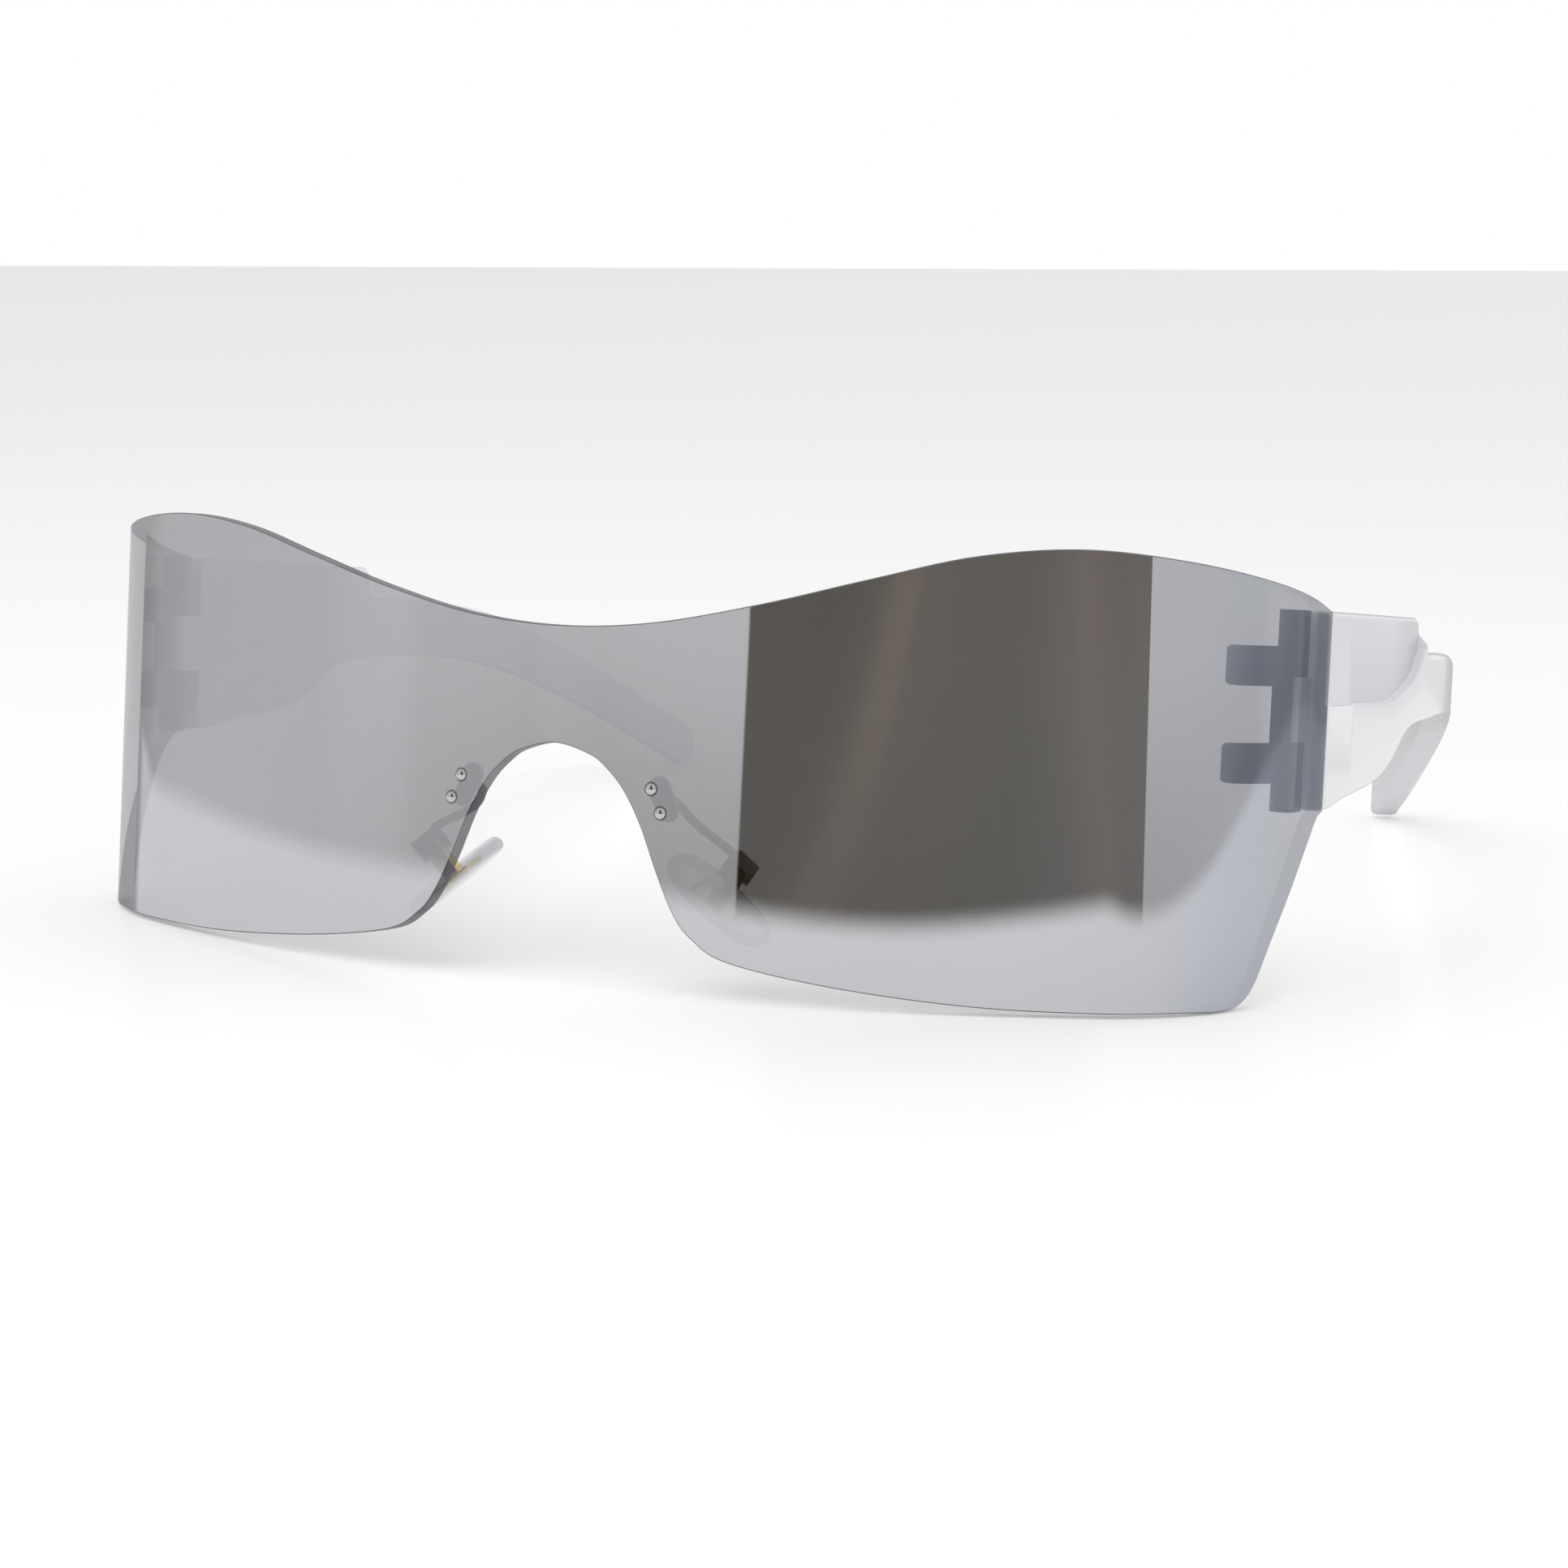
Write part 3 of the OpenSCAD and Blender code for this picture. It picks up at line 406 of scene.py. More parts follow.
def lens_blank():
    """The flat shield: x along it, y into it and z up, with its edge broken all round."""
    half = np.linspace(0, lens_run, int(lens_run / column_pitch) + 1)
    runs = np.concatenate([-half[:0:-1], half])
    last = len(runs) - 1
    low = np.interp(abs(runs), *bottom_line.T)
    high = np.interp(abs(runs), *top_line.T)
    heights = [z / lens_rows for z in range(1, lens_rows)]
    ends = [low[last] + share * (high[last] - low[last]) for share in heights]
    rim = np.array(
        [*zip(runs, low)] + [(lens_run, z) for z in ends]
        + [*zip(runs[::-1], high[::-1])] + [(-lens_run, z) for z in ends[::-1]]
    )
    along = np.roll(rim, -1, 0) - np.roll(rim, 1, 0)
    along /= np.linalg.norm(along, axis=1)[:, None]
    inner = rim + edge_break * np.stack([-along[:, 1], along[:, 0]], 1)
    first_top = last + lens_rows

    def inside(i, j):
        """Place of column i, row j of the face inside the broken edge."""
        if j == 0:
            return inner[i]
        if j == lens_rows:
            return inner[first_top + last - i]
        if i == last:
            return inner[last + j]
        if i == 0:
            return inner[first_top + last + lens_rows - j]
        foot, head = inner[i], inner[first_top + last - i]
        return foot + (head - foot) * j / lens_rows

    bm = bmesh.new()

    def layer(depth):
        """Columns of points over the whole face inside the broken edge, at a depth."""
        columns = [[inside(i, j) for j in range(lens_rows + 1)] for i in range(last + 1)]
        return [[bm.verts.new((x, depth, z)) for x, z in column] for column in columns]

    face, back = layer(0), layer(lens_t)
    for i in range(last):
        for j in range(lens_rows):
            bm.faces.new((face[i][j], face[i + 1][j], face[i + 1][j + 1], face[i][j + 1]))
            bm.faces.new((back[i][j], back[i][j + 1], back[i + 1][j + 1], back[i + 1][j]))
    border = (
        [(i, 0) for i in range(last + 1)] + [(last, j) for j in range(1, lens_rows)]
        + [(i, lens_rows) for i in range(last, -1, -1)] + [(0, j) for j in range(lens_rows - 1, 0, -1)]
    )
    bridge(bm, [
        [face[i][j] for i, j in border],
        [bm.verts.new((x, edge_break, z)) for x, z in rim],
        [bm.verts.new((x, lens_t - edge_break, z)) for x, z in rim],
        [back[i][j] for i, j in border],
    ])
    return mesh_of(bm, "lens_blank")


def begin_tree(name, *numbers):
    """A Geometry Nodes tree with inputs for geometry, named numbers and a material."""
    tree = bpy.data.node_groups.new(name, "GeometryNodeTree")
    kinds = [("Geometry", "Geometry"), *[(label, "Float") for label in numbers], ("Material", "Material")]
    for label, kind in kinds:
        tree.interface.new_socket(label, in_out="INPUT", socket_type=f"NodeSocket{kind}")
    tree.interface.new_socket("Geometry", in_out="OUTPUT", socket_type="NodeSocketGeometry")
    return tree, tree.nodes.new("NodeGroupInput").outputs


def end_tree(tree, geometry, material):
    """Ends a tree: its instances are made real and given their material."""
    whole = join(tree, "GeometryNodeRealizeInstances", geometry)
    finished = join(tree, "GeometryNodeSetMaterial", whole.outputs[0])
    tree.links.new(material, finished.inputs["Material"])
    tree.links.new(finished.outputs[0], tree.nodes.new("NodeGroupOutput").inputs[0])
    return tree


def bend_tree():
    """Geometry Nodes that bend a flat sheet round the face: three arcs and a straight end."""
    numbers = [f"{what} {k + 1}" for k in range(len(bend_arcs)) for what in ("Radius", "Turn")]
    tree, given = begin_tree("bend_round_the_face", *numbers)
    flat = join(tree, "ShaderNodeSeparateXYZ", join(tree, "GeometryNodeInputPosition").outputs[0]).outputs
    left = sums(tree, "ABSOLUTE", flat["X"])
    turn, x, y = 0.0, 0.0, 0.0
    for number in range(len(bend_arcs)):
        radius, whole = given[f"Radius {number + 1}"], given[f"Turn {number + 1}"]
        part = sums(tree, "MINIMUM", sums(tree, "DIVIDE", left, radius), whole)
        after = sums(tree, "ADD", turn, part)
        across = sums(tree, "SUBTRACT", sums(tree, "SINE", after), sums(tree, "SINE", turn))
        inward = sums(tree, "SUBTRACT", sums(tree, "COSINE", turn), sums(tree, "COSINE", after))
        x = sums(tree, "MULTIPLY_ADD", across, radius, x)
        y = sums(tree, "MULTIPLY_ADD", inward, radius, y)
        left = sums(tree, "SUBTRACT", left, sums(tree, "MULTIPLY", part, radius))
        turn = after
    sine, cosine = sums(tree, "SINE", turn), sums(tree, "COSINE", turn)
    x = sums(tree, "MULTIPLY_ADD", left, cosine, x)
    y = sums(tree, "MULTIPLY_ADD", left, sine, y)
    x = sums(tree, "SUBTRACT", x, sums(tree, "MULTIPLY", flat["Y"], sine))
    y = sums(tree, "MULTIPLY_ADD", flat["Y"], cosine, y)
    x = sums(tree, "MULTIPLY", x, sums(tree, "SIGN", flat["X"]))
    bent = join(tree, "ShaderNodeCombineXYZ", x, y, flat["Z"]).outputs[0]
    sheet = join(tree, "GeometryNodeStoreNamedAttribute", given["Geometry"],
        data_type="FLOAT2", domain="CORNER")
    sheet.inputs["Name"].default_value = "flat_sheet"
    cut = join(tree, "ShaderNodeCombineXYZ", flat["X"], flat["Z"], 0.0).outputs[0]
    tree.links.new(cut, sheet.inputs["Value"])
    placed = join(tree, "GeometryNodeSetPosition", sheet.outputs[0])
    tree.links.new(bent, placed.inputs["Position"])
    return end_tree(tree, placed.outputs[0], given["Material"])


def give_inputs(modifier, values):
    """Sets a Geometry Nodes modifier's named inputs."""
    for item in modifier.node_group.interface.items_tree:
        if item.item_type == "SOCKET" and item.in_out == "INPUT" and item.name in values:
            modifier[item.identifier] = values[item.name]


def finish_of(name):
    """A new material, with its node tree and its shader."""
    material = bpy.data.materials.new(name)
    material.use_nodes = True
    return material, material.node_tree, material.node_tree.nodes["Principled BSDF"]


def object_noise(tree, scale, detail=2.0):
    """Noise on the piece's own place, in cells a metre."""
    place = join(tree, "ShaderNodeTexCoord").outputs["Object"]
    node = join(tree, "ShaderNodeTexNoise", place)
    node.inputs["Scale"].default_value = scale
    node.inputs["Detail"].default_value = detail
    return node.outputs["Fac"]


def ripple(tree, shader, height, strength, distance):
    """Bump from a height, on a shader."""
    bump = join(tree, "ShaderNodeBump")
    bump.inputs["Strength"].default_value = strength
    bump.inputs["Distance"].default_value = distance
    tree.links.new(height, bump.inputs["Height"])
    tree.links.new(bump.outputs[0], shader.inputs["Normal"])


# Share of the light that the front coat stops, and its colour: millimetres from the middle
coat_stops = (
    (0, 0.8), (50, 0.79), (58, 0.755), (64, 0.7), (68, 0.58), (71, 0.46), (74, 0.37), (79, 0.24), (89, 0.2),
)
coat_colours = ((0, (0.6, 0.605, 0.63)), (64, (0.6, 0.605, 0.635)), (74, (0.56, 0.6, 0.735)))
coat_roughness = 0.015
# The coat's cloud and its ripple: cells a metre, and strength; and the ripple's depth in metres
cloud_cells, cloud_strength = 45.0, 0.04
ripple_cells, ripple_strength, ripple_depth = 60.0, 0.05, 0.0001
# Share of the light that the smoke tint, the cut edge and the holes' walls stop. The walls are
# denser than the edge, so that a ring of painted shade shows round each stud
tint_alpha, edge_alpha, wall_alpha = 0.6, 0.65, 0.8


def run_ramp(tree, stops):
    """Colour that follows the run along the lens, alike both ways from its middle."""
    sheet = join(tree, "ShaderNodeUVMap", uv_map="flat_sheet").outputs[0]
    run = sums(tree, "ABSOLUTE", join(tree, "ShaderNodeSeparateXYZ", sheet).outputs["X"])
    share = sums(tree, "DIVIDE", run, lens_run)
    return ramp(tree, share, [(place / lens_run, colour) for place, colour in stops])


def front_coat():
    """Thin silver coat, with a faint cloud in its colour and a faint ripple."""
    material, tree, shader = finish_of("front_coat")
    silver = run_ramp(tree, coat_colours)
    noise = object_noise(tree, cloud_cells)
    cloud = join(tree, "ShaderNodeMapRange", noise, 0.0, 1.0, 0.0, cloud_strength)
    tree.links.new(mixed(tree, cloud.outputs["Result"], silver, (1, 1, 1, 1)), shader.inputs["Base Color"])
    stopped = run_ramp(tree, [(place, (share,) * 3) for place, share in coat_stops])
    tree.links.new(stopped, shader.inputs["Alpha"])
    shader.inputs["Metallic"].default_value = 1
    shader.inputs["Roughness"].default_value = coat_roughness
    ripple(tree, shader, object_noise(tree, ripple_cells, detail=0.0), ripple_strength, ripple_depth)
    return material


def tinted(name, first, second, alpha, roughness, cells):
    """Plastic that lets a part of the light through, with the faintest haze."""
    material, tree, shader = finish_of(name)
    colour = mixed(tree, object_noise(tree, cells), (*first, 1), (*second, 1))
    tree.links.new(colour, shader.inputs["Base Color"])
    shader.inputs["Roughness"].default_value = roughness
    shader.inputs["Alpha"].default_value = alpha
    return material


def at_rivets():
    """The two rivet places on the flat lens: run and height."""
    return [
        (rivet_run - way * rivet_pitch / 2 * sin(rivet_slant),
         -rivet_drop + way * rivet_pitch / 2 * cos(rivet_slant))
        for way in (-1, 1)
    ]


def rod_mesh(radius, depth, places, sides=40):
    """Round bars through the flat lens, to cut its rivet holes."""
    bm = bmesh.new()
    for x, z in places:
        turn = Matrix.Translation((x, lens_t / 2, z)) @ Matrix.Rotation(pi / 2, 4, "X")
        bmesh.ops.create_cone(bm, cap_ends=True, segments=sides, radius1=radius, radius2=radius,
            depth=depth, matrix=turn)
    return mesh_of(bm, "rods")


lens_maker = plain_object("lens_maker", lens_blank())
both_sides = at_rivets() + [(-x, z) for x, z in at_rivets()]
hole_rods = plain_object("hole_rods", rod_mesh(lens_hole_d / 2, 3 * lens_t, both_sides))
holes = lens_maker.modifiers.new("holes", "BOOLEAN")
holes.object = hole_rods
holes.operation = "DIFFERENCE"
holes.solver = "EXACT"
bend = lens_maker.modifiers.new("bend", "NODES")
bend.node_group = bend_tree()
faces_of_lens = (
    front_coat(),
    tinted("smoke_back", (0.02, 0.02, 0.022), (0.03, 0.03, 0.033), tint_alpha, roughness=0.05, cells=45.0),
    tinted("cut_edge", (0.05, 0.058, 0.075), (0.08, 0.09, 0.11), edge_alpha, roughness=0.18, cells=900.0),
    # The holes' walls: the dark tinted plastic, made darker and denser than the cut edge as painted shade in
    # the gap round each stud
    tinted("hole_wall", (0.04, 0.04, 0.045), (0.06, 0.06, 0.065), wall_alpha, roughness=0.18, cells=900.0),
)
coat_side, tint_side, cut_side, hole_side = range(len(faces_of_lens))
bend_values = {"Material": faces_of_lens[coat_side]}
for number, (radius, turn) in enumerate(bend_arcs):
    bend_values[f"Radius {number + 1}"] = float(radius)
    bend_values[f"Turn {number + 1}"] = turn
give_inputs(bend, bend_values)
lens_mesh = crease(result_of(lens_maker))
bpy.data.objects.remove(hole_rods)
dress(lens_mesh, *faces_of_lens)
# A face belongs to a side that it squarely faces, and to a hole within this reach of its wall
squarely, wall_reach = 0.9, 0.05
flat_sheet = lens_mesh.attributes["flat_sheet"].data
for polygon in lens_mesh.polygons:
    run = sum(flat_sheet[k].vector[0] for k in polygon.loop_indices) / polygon.loop_total
    inward = Vector(bend_point(run, 1)) - Vector(bend_point(run, 0))
    facing = -inward.dot(polygon.normal.to_2d())
    height = sum(flat_sheet[k].vector[1] for k in polygon.loop_indices) / polygon.loop_total
    nearest = min(sqrt((run - x) ** 2 + (height - z) ** 2) for x, z in both_sides)
    polygon.material_index = cut_side
    if facing > squarely:
        polygon.material_index = coat_side
    elif facing < -squarely:
        polygon.material_index = tint_side
    elif nearest < lens_hole_d / 2 + wall_reach:
        polygon.material_index = hole_side
settle("shield", lens_mesh, "front", None, "shield_lens")

# End pieces
# Moulded graphite-grey nylon, bonded inside the lens's ends: a plate with two prongs that
# run forward round the corner, and two knuckles behind it for the temple's hinge.
endpiece_round = 0.12
sides = {"left": 1, "right": -1}


def softened(node, width, angle=radians(35)):
    """Copy of a solid in the glasses' own frame, merged, with its hard edges rounded."""
    bm = bmesh.new()
    bm.from_mesh(frame["nodes"][node].data)
    bm.transform(seat.inverted())
    bmesh.ops.remove_doubles(bm, verts=bm.verts, dist=0.002)
    bmesh.ops.dissolve_limit(bm, angle_limit=radians(1), verts=bm.verts, edges=bm.edges)
    hard = [edge for edge in bm.edges if edge.calc_face_angle(0) > angle]
    bmesh.ops.bevel(bm, geom=hard, offset=width, segments=2, profile=0.5, affect="EDGES",
        clamp_overlap=True, harden_normals=False)
    return crease(mesh_of(bm, node), radians(40))


def refine(node, name, width, body, material):
    """The node's own solid shows as a piece, with its hard edges rounded."""
    settle(name, softened(node, width), body, material, node)


def moulded(name, first, second, roughness, coat_weight, cells=70.0, pits=1500.0):
    """Glossy moulded plastic: a faint pearl cloud and the finest pitting under a gloss."""
    material, tree, shader = finish_of(name)
    cloud = object_noise(tree, cells, detail=3.0)
    tree.links.new(mixed(tree, cloud, (*first, 1), (*second, 1)), shader.inputs["Base Color"])
    shader.inputs["Roughness"].default_value = roughness
    shader.inputs["Coat Weight"].default_value = coat_weight
    shader.inputs["Coat Roughness"].default_value = 0.05
    ripple(tree, shader, object_noise(tree, pits), strength=0.03, distance=0.00002)
    return material


nylon = moulded("graphite_nylon", (0.03, 0.034, 0.066), (0.044, 0.05, 0.09), roughness=0.35, coat_weight=0.25)
for hand in sides:
    refine(f"endpiece_{hand}", f"endpiece_{hand}_moulding", endpiece_round, "front", nylon)

# Hinge screws
# Turned steel, slotted, each down through an end piece's knuckles and the temple's
# tongue between them, its head let into the upper knuckle.
screw_round = 0.04
# Marks on bare metal: cells a metre, the noise's usual range, their tone, and the share by
# which they change its roughness
mark_cells, mark_range, mark_tone, mark_wear = 2600.0, (0.3, 0.7), 0.86, 0.3


def turned_metal(name, colour, roughness):
    """Bare metal with fine marks of its turning or polishing."""
    material, tree, shader = finish_of(name)
    marks = object_noise(tree, mark_cells, detail=4.0)
    darker = tuple(mark_tone * value for value in colour)
    tree.links.new(mixed(tree, marks, (*colour, 1), (*darker, 1)), shader.inputs["Base Color"])
    worn = join(tree, "ShaderNodeMapRange", marks, *mark_range,
        (1 - mark_wear) * roughness, (1 + mark_wear) * roughness)
    tree.links.new(worn.outputs["Result"], shader.inputs["Roughness"])
    shader.inputs["Metallic"].default_value = 1
    ripple(tree, shader, marks, strength=0.08, distance=0.00001)
    return material


steel = turned_metal("turned_steel", (0.66, 0.66, 0.68), roughness=0.25)
for hand in sides:
    refine(f"hinge_screw_{hand}", f"hinge_screw_{hand}_steel", screw_round, "front", steel)

# Temples
# One moulding each, glossy pearl white: a deep flat side with a recessed panel in painted shade,
# a step down, and a slim arm that bends in and down. A tongue in front takes the screw.
temple_t = 3.5
side_len, side_fall, step_run, side_step = 37.1, 0.4, 2.4, 4
arm_start, arm_h, tip_h, arm_len = 45.5, 7.5, 6, 50.7
tip_drop, tip_in, tip_round = 15.6, 18.4, 2.48
edge_r, front_round = 0.7, 0.25
# The panel: its depth at both ends, the height and run of its lower line, and its ledge
recess_front, recess_rear = 0.25, 1.1
panel_line, line_run = 2.7, 18
ledge, ledge_fade = 0.12, 1.5
# The tongue, between the end piece's two knuckles
boss_len, side_gap, tongue_bore_r = 5, 0.1, 0.65
lower_knuckle_h, upper_knuckle_h = 7.2, 7
knuckle_low_z, knuckle_high_z = -end_drop + lower_knuckle_h, end_top - upper_knuckle_h
# Sections along the side, its step down, the arm and the tip, and steps round each corner
side_rings, step_rings, arm_rings, tip_rings, corner_steps = 26, 25, 61, 9, 6
# The side's even sections start this far behind its front; the bore's cutter overruns by this
rings_from, bore_overrun = 1, 1
front_shares = (0, 0.12, 0.4, 1)
ledge_shares = (0, 0.12, 0.35, 0.65, 0.88, 1)
step_shares = (
    (0, 0), (0.1, 0.02), (0.2, 0.12), (0.3, 0.36), (0.42, 0.66),
    (0.58, 0.86), (0.78, 0.965), (1, 1),
)
under_shares = (
    (0, 0), (0.2, 0.125), (0.41, 0.245), (0.5, 0.35), (0.58, 0.53),
    (0.67, 0.8), (0.78, 0.935), (1, 1),
)
arm_shares = ((0, 0), (0.18, 0.015), (0.37, 0.09), (0.55, 0.26), (0.74, 0.52), (0.92, 0.845), (1, 1))
line_shares = ((0, 0), (0.2, 0.02), (0.4, 0.14), (0.6, 0.32), (0.8, 0.56), (0.92, 0.9), (1, 1.15))
butt_y = lens_end_y + stop_gap
side_front_x = half_w - temple_t / 2
arm_y, corner_y = butt_y + arm_start, butt_y + side_len
tip_y = arm_y + arm_len
corner_top = end_top - side_fall
arm_top = corner_top - side_step
arm_foot, arm_mid_z = arm_top - arm_h, arm_top - arm_h / 2
upper_side = np.vstack([
    [(butt_y, end_top)],
    smooth_line([(corner_y + a * step_run, corner_top - b * side_step) for a, b in step_shares]),
    [(arm_y, arm_top)],
])
lower_side = smooth_line([
    (butt_y + a * arm_start, -end_drop + b * (arm_foot + end_drop)) for a, b in under_shares])
arm_drops = smooth_line([(arm_y + a * arm_len, b * tip_drop) for a, b in arm_shares])
panel_rise = smooth_line([
    (corner_y + step_run / 2 - line_run * (1 - a), panel_line + b * (arm_top - panel_line))
    for a, b in line_shares])


def temple_bend(y):
    """Bend in plan at a place along the temple, and its heading."""
    back, run = max(0, y - corner_y), tip_y - corner_y
    return tip_in * (back / run) ** 2, atan(2 * tip_in * back / run ** 2)


def temple_heights(y):
    """Foot and top of the temple at a place along it."""
    if y < arm_y:
        return np.interp(y, *lower_side.T), np.interp(y, *upper_side.T)
    middle = arm_mid_z - np.interp(y, *arm_drops.T)
    half = (arm_h + (tip_h - arm_h) * (y - arm_y) / arm_len) / 2
    return middle - half, middle + half


def bar_ring(x, y, heading, thick, low, high, line, recess):
    """Section of the temple: a rounded bar, its outer side set in above a line."""
    a = thick / 2
    b, r = a - recess, min(edge_r, a / 2, (high - low) / 4)
    level = min(line, high - r - 2 * ledge)
    corners = ((a - r, low + r, 0), (r - a, low + r, -90), (r - a, high - r, -180), (b - r, high - r, -270))
    ring = []
    for q, z, start in corners:
        turns = [radians(start - 90 * k / corner_steps) for k in range(corner_steps + 1)]
        ring += [(q + r * cos(turn), z + r * sin(turn)) for turn in turns]
    for share in ledge_shares:
        smooth = share * share * (3 - 2 * share)
        ring.append((b + (a - b) * smooth, level + ledge - 2 * ledge * share))
    return [(x + q * cos(heading), y + q * sin(heading), z) for q, z in ring]


def temple_rings():
    """All the sections of the temple, from its front face to its tip."""
    runs = np.concatenate([
        butt_y + front_round * np.array(front_shares),
        np.linspace(butt_y + rings_from, corner_y, side_rings),
        np.linspace(corner_y, corner_y + step_run, step_rings)[1:],
        np.linspace(corner_y + step_run, tip_y, arm_rings)[1:],
    ])
    rings = []
    for y in runs:
        low, high = temple_heights(y)
        bend, heading = temple_bend(y)
        inset = front_round * (1 - sqrt(max(0, 1 - max(0, 1 - (y - butt_y) / front_round) ** 2)))
        rise = np.interp(y, *panel_rise.T)
        recess = 0
        if y < corner_y + step_run:
            depth = recess_front + (recess_rear - recess_front) * (y - butt_y) / side_len
            recess = depth * min(1, max(0, (high - edge_r - rise) / ledge_fade))
        thick = temple_t - 2 * inset
        rings.append(bar_ring(
            side_front_x - bend, y, heading, thick, low + inset, high - inset, rise, recess))
    bend, heading = temple_bend(tip_y)
    middle = sum(temple_heights(tip_y)) / 2
    for k in range(1, tip_rings + 1):
        # The last ring stays just short of a point
        u = sin(pi / 2 * k / (tip_rings + 0.4))
        fill, fall = sqrt(1 - u * u), tip_round * u * tip_drop / arm_len
        rings.append(bar_ring(side_front_x - bend - tip_round * u * sin(heading),
            tip_y + tip_round * u * cos(heading), heading, temple_t * fill,
            middle - fall - tip_h / 2 * fill, middle - fall + tip_h / 2 * fill, middle, 0))
    return rings


def skin_over(rings, name):
    """Closed mesh over a row of rings, with its ends filled."""
    bm = bmesh.new()
    rows = [[bm.verts.new(point) for point in ring] for ring in rings]
    bridge(bm, rows)
    for row in (rows[0], rows[-1]):
        bm.faces.new(row)
    bmesh.ops.recalc_face_normals(bm, faces=bm.faces)
    return mesh_of(bm, name)


def upright_slab(outline, low, high, name):
    """An outline in plan, between two heights."""
    return skin_over([[(x, y, z) for x, y in outline] for z in (low, high)], name)


def combined(base, *others):
    """Mesh of one solid with others joined to it or cut from it."""
    maker = plain_object("maker", base)
    helpers = []
    for operation, mesh in others:
        helpers.append(plain_object("helper", mesh))
        change = maker.modifiers.new("change", "BOOLEAN")
        change.operation = operation
        change.object = helpers[-1]
        change.solver = "EXACT"
    mesh = result_of(maker)
    for helper in helpers:
        bpy.data.objects.remove(helper)
    return mesh


def circle_points(radius, x, y, start=0, turn=360, count=40):
    """Points round a circle or a part of one."""
    turns = [radians(start + turn * k / count) for k in range(count)]
    return [(x + radius * cos(angle), y + radius * sin(angle)) for angle in turns]


tongue_r, boss_end = knuckle_r - side_gap / 2, hinge_back + boss_len
tongue_outline = circle_points(tongue_r, hinge_x, hinge_y, 0, -180) + [
    (hinge_x - tongue_r, hinge_y), (hinge_x - tongue_r, hinge_y + hinge_back),
    (half_w - temple_t + edge_r, hinge_y + boss_end), (hinge_x + tongue_r, hinge_y + boss_end),
]
tongue_low, tongue_high = knuckle_low_z + side_gap, knuckle_high_z - side_gap
bore = circle_points(tongue_bore_r, hinge_x, hinge_y)
temple_mesh = crease(combined(
    skin_over(temple_rings(), "bar"),
    ("UNION", upright_slab(tongue_outline, tongue_low, tongue_high, "tongue")),
    ("DIFFERENCE", upright_slab(bore, tongue_low - bore_overrun, tongue_high + bore_overrun, "bore")),
), radians(32))
pearl = moulded("pearl_white", (0.85, 0.85, 0.89), (0.88, 0.88, 0.915), roughness=0.22, coat_weight=0.6)
# The recessed panel is the same pearl, painted darker and greyer as the shade in the recess
panel = moulded("pearl_panel_shaded", (0.665, 0.665, 0.735), (0.69, 0.69, 0.755), roughness=0.26, coat_weight=0.5)
# The panel's painted shade deepens over this last stretch, in metres, before its rear corner
panel_corner, panel_stretch, panel_rear_shade = Vector((0, corner_y, 5)), 0.012, (0.56, 0.57, 0.61, 1)
panel_rear = (seat @ panel_corner).y
tree = panel.node_tree
panel_colour = tree.nodes["Principled BSDF"].inputs["Base Color"]
along = join(tree, "ShaderNodeTexCoord").outputs["Object"]
along = join(tree, "ShaderNodeSeparateXYZ", along).outputs["Y"]
# Painted shade: the panel darkens towards its rear corner
rear_shade = step(tree, along, panel_rear - panel_stretch, panel_rear)
tree.links.new(mixed(tree, rear_shade, panel_colour.links[0].from_socket, panel_rear_shade), panel_colour)
dress(temple_mesh, pearl, panel)
for polygon in temple_mesh.polygons:
    x, y, z = polygon.center
    outer = polygon.normal.x > squarely and y < corner_y + step_run
    polygon.material_index = int(outer and z > np.interp(y, *panel_rise.T) + ledge)
for hand, side in sides.items():
    settle(f"temple_{hand}_moulding", temple_mesh, f"temple_{hand}", None,
        f"temple_{hand}", side)

# Sleeves and studs
# Two clear nylon sleeves line each pair of holes in the lens. Polished studs with
# domed heads go through them and are riveted over behind the plate.
plate_front, rivet_plate_t = lens_t + bond_gap, 0.6
plate_rear = plate_front + rivet_plate_t
sleeve_gap, sleeve_wall, sleeve_break = 0.02, 0.2, 0.05
sleeve_r = lens_hole_d / 2 - sleeve_gap
sleeve_bore_r = sleeve_r - sleeve_wall
rivet_r, dome_r, dome_h, dome_break = 0.5, 0.65, 0.45, 0.03
# Riveted end: its radius and height, the rounding at its foot and at its shoulder, and the
# radius and depth of the dimple that the punch leaves
rivet_head_r, rivet_head_h = 0.65, 0.35
foot_in, foot_up, shoulder_in, shoulder_down = 0.05, 0.06, 0.12, 0.02
dimple_r, dimple_depth = 0.2, 0.04
head_y = plate_rear + rivet_head_h
dome_profile = [(dome_r * sin(radians(a)), -dome_h * cos(radians(a))) for a in range(0, 90, 9)]
stud_profile = dome_profile + [
    (dome_r, -dome_break), (dome_r - dome_break, 0), (rivet_r, 0), (rivet_r, plate_rear),
    (rivet_head_r - foot_in, plate_rear), (rivet_head_r, plate_rear + foot_up),
    (rivet_head_r, head_y - shoulder_in), (rivet_head_r - shoulder_in, head_y - shoulder_down),
    (dimple_r, head_y), (0, head_y - dimple_depth),
]
sleeve_profile = [
    (sleeve_bore_r, sleeve_break), (sleeve_bore_r + sleeve_break, 0),
    (sleeve_r - sleeve_break, 0), (sleeve_r, sleeve_break),
    (sleeve_r, lens_t - sleeve_break), (sleeve_r - sleeve_break, lens_t),
    (sleeve_bore_r + sleeve_break, lens_t), (sleeve_bore_r, lens_t - sleeve_break),
]


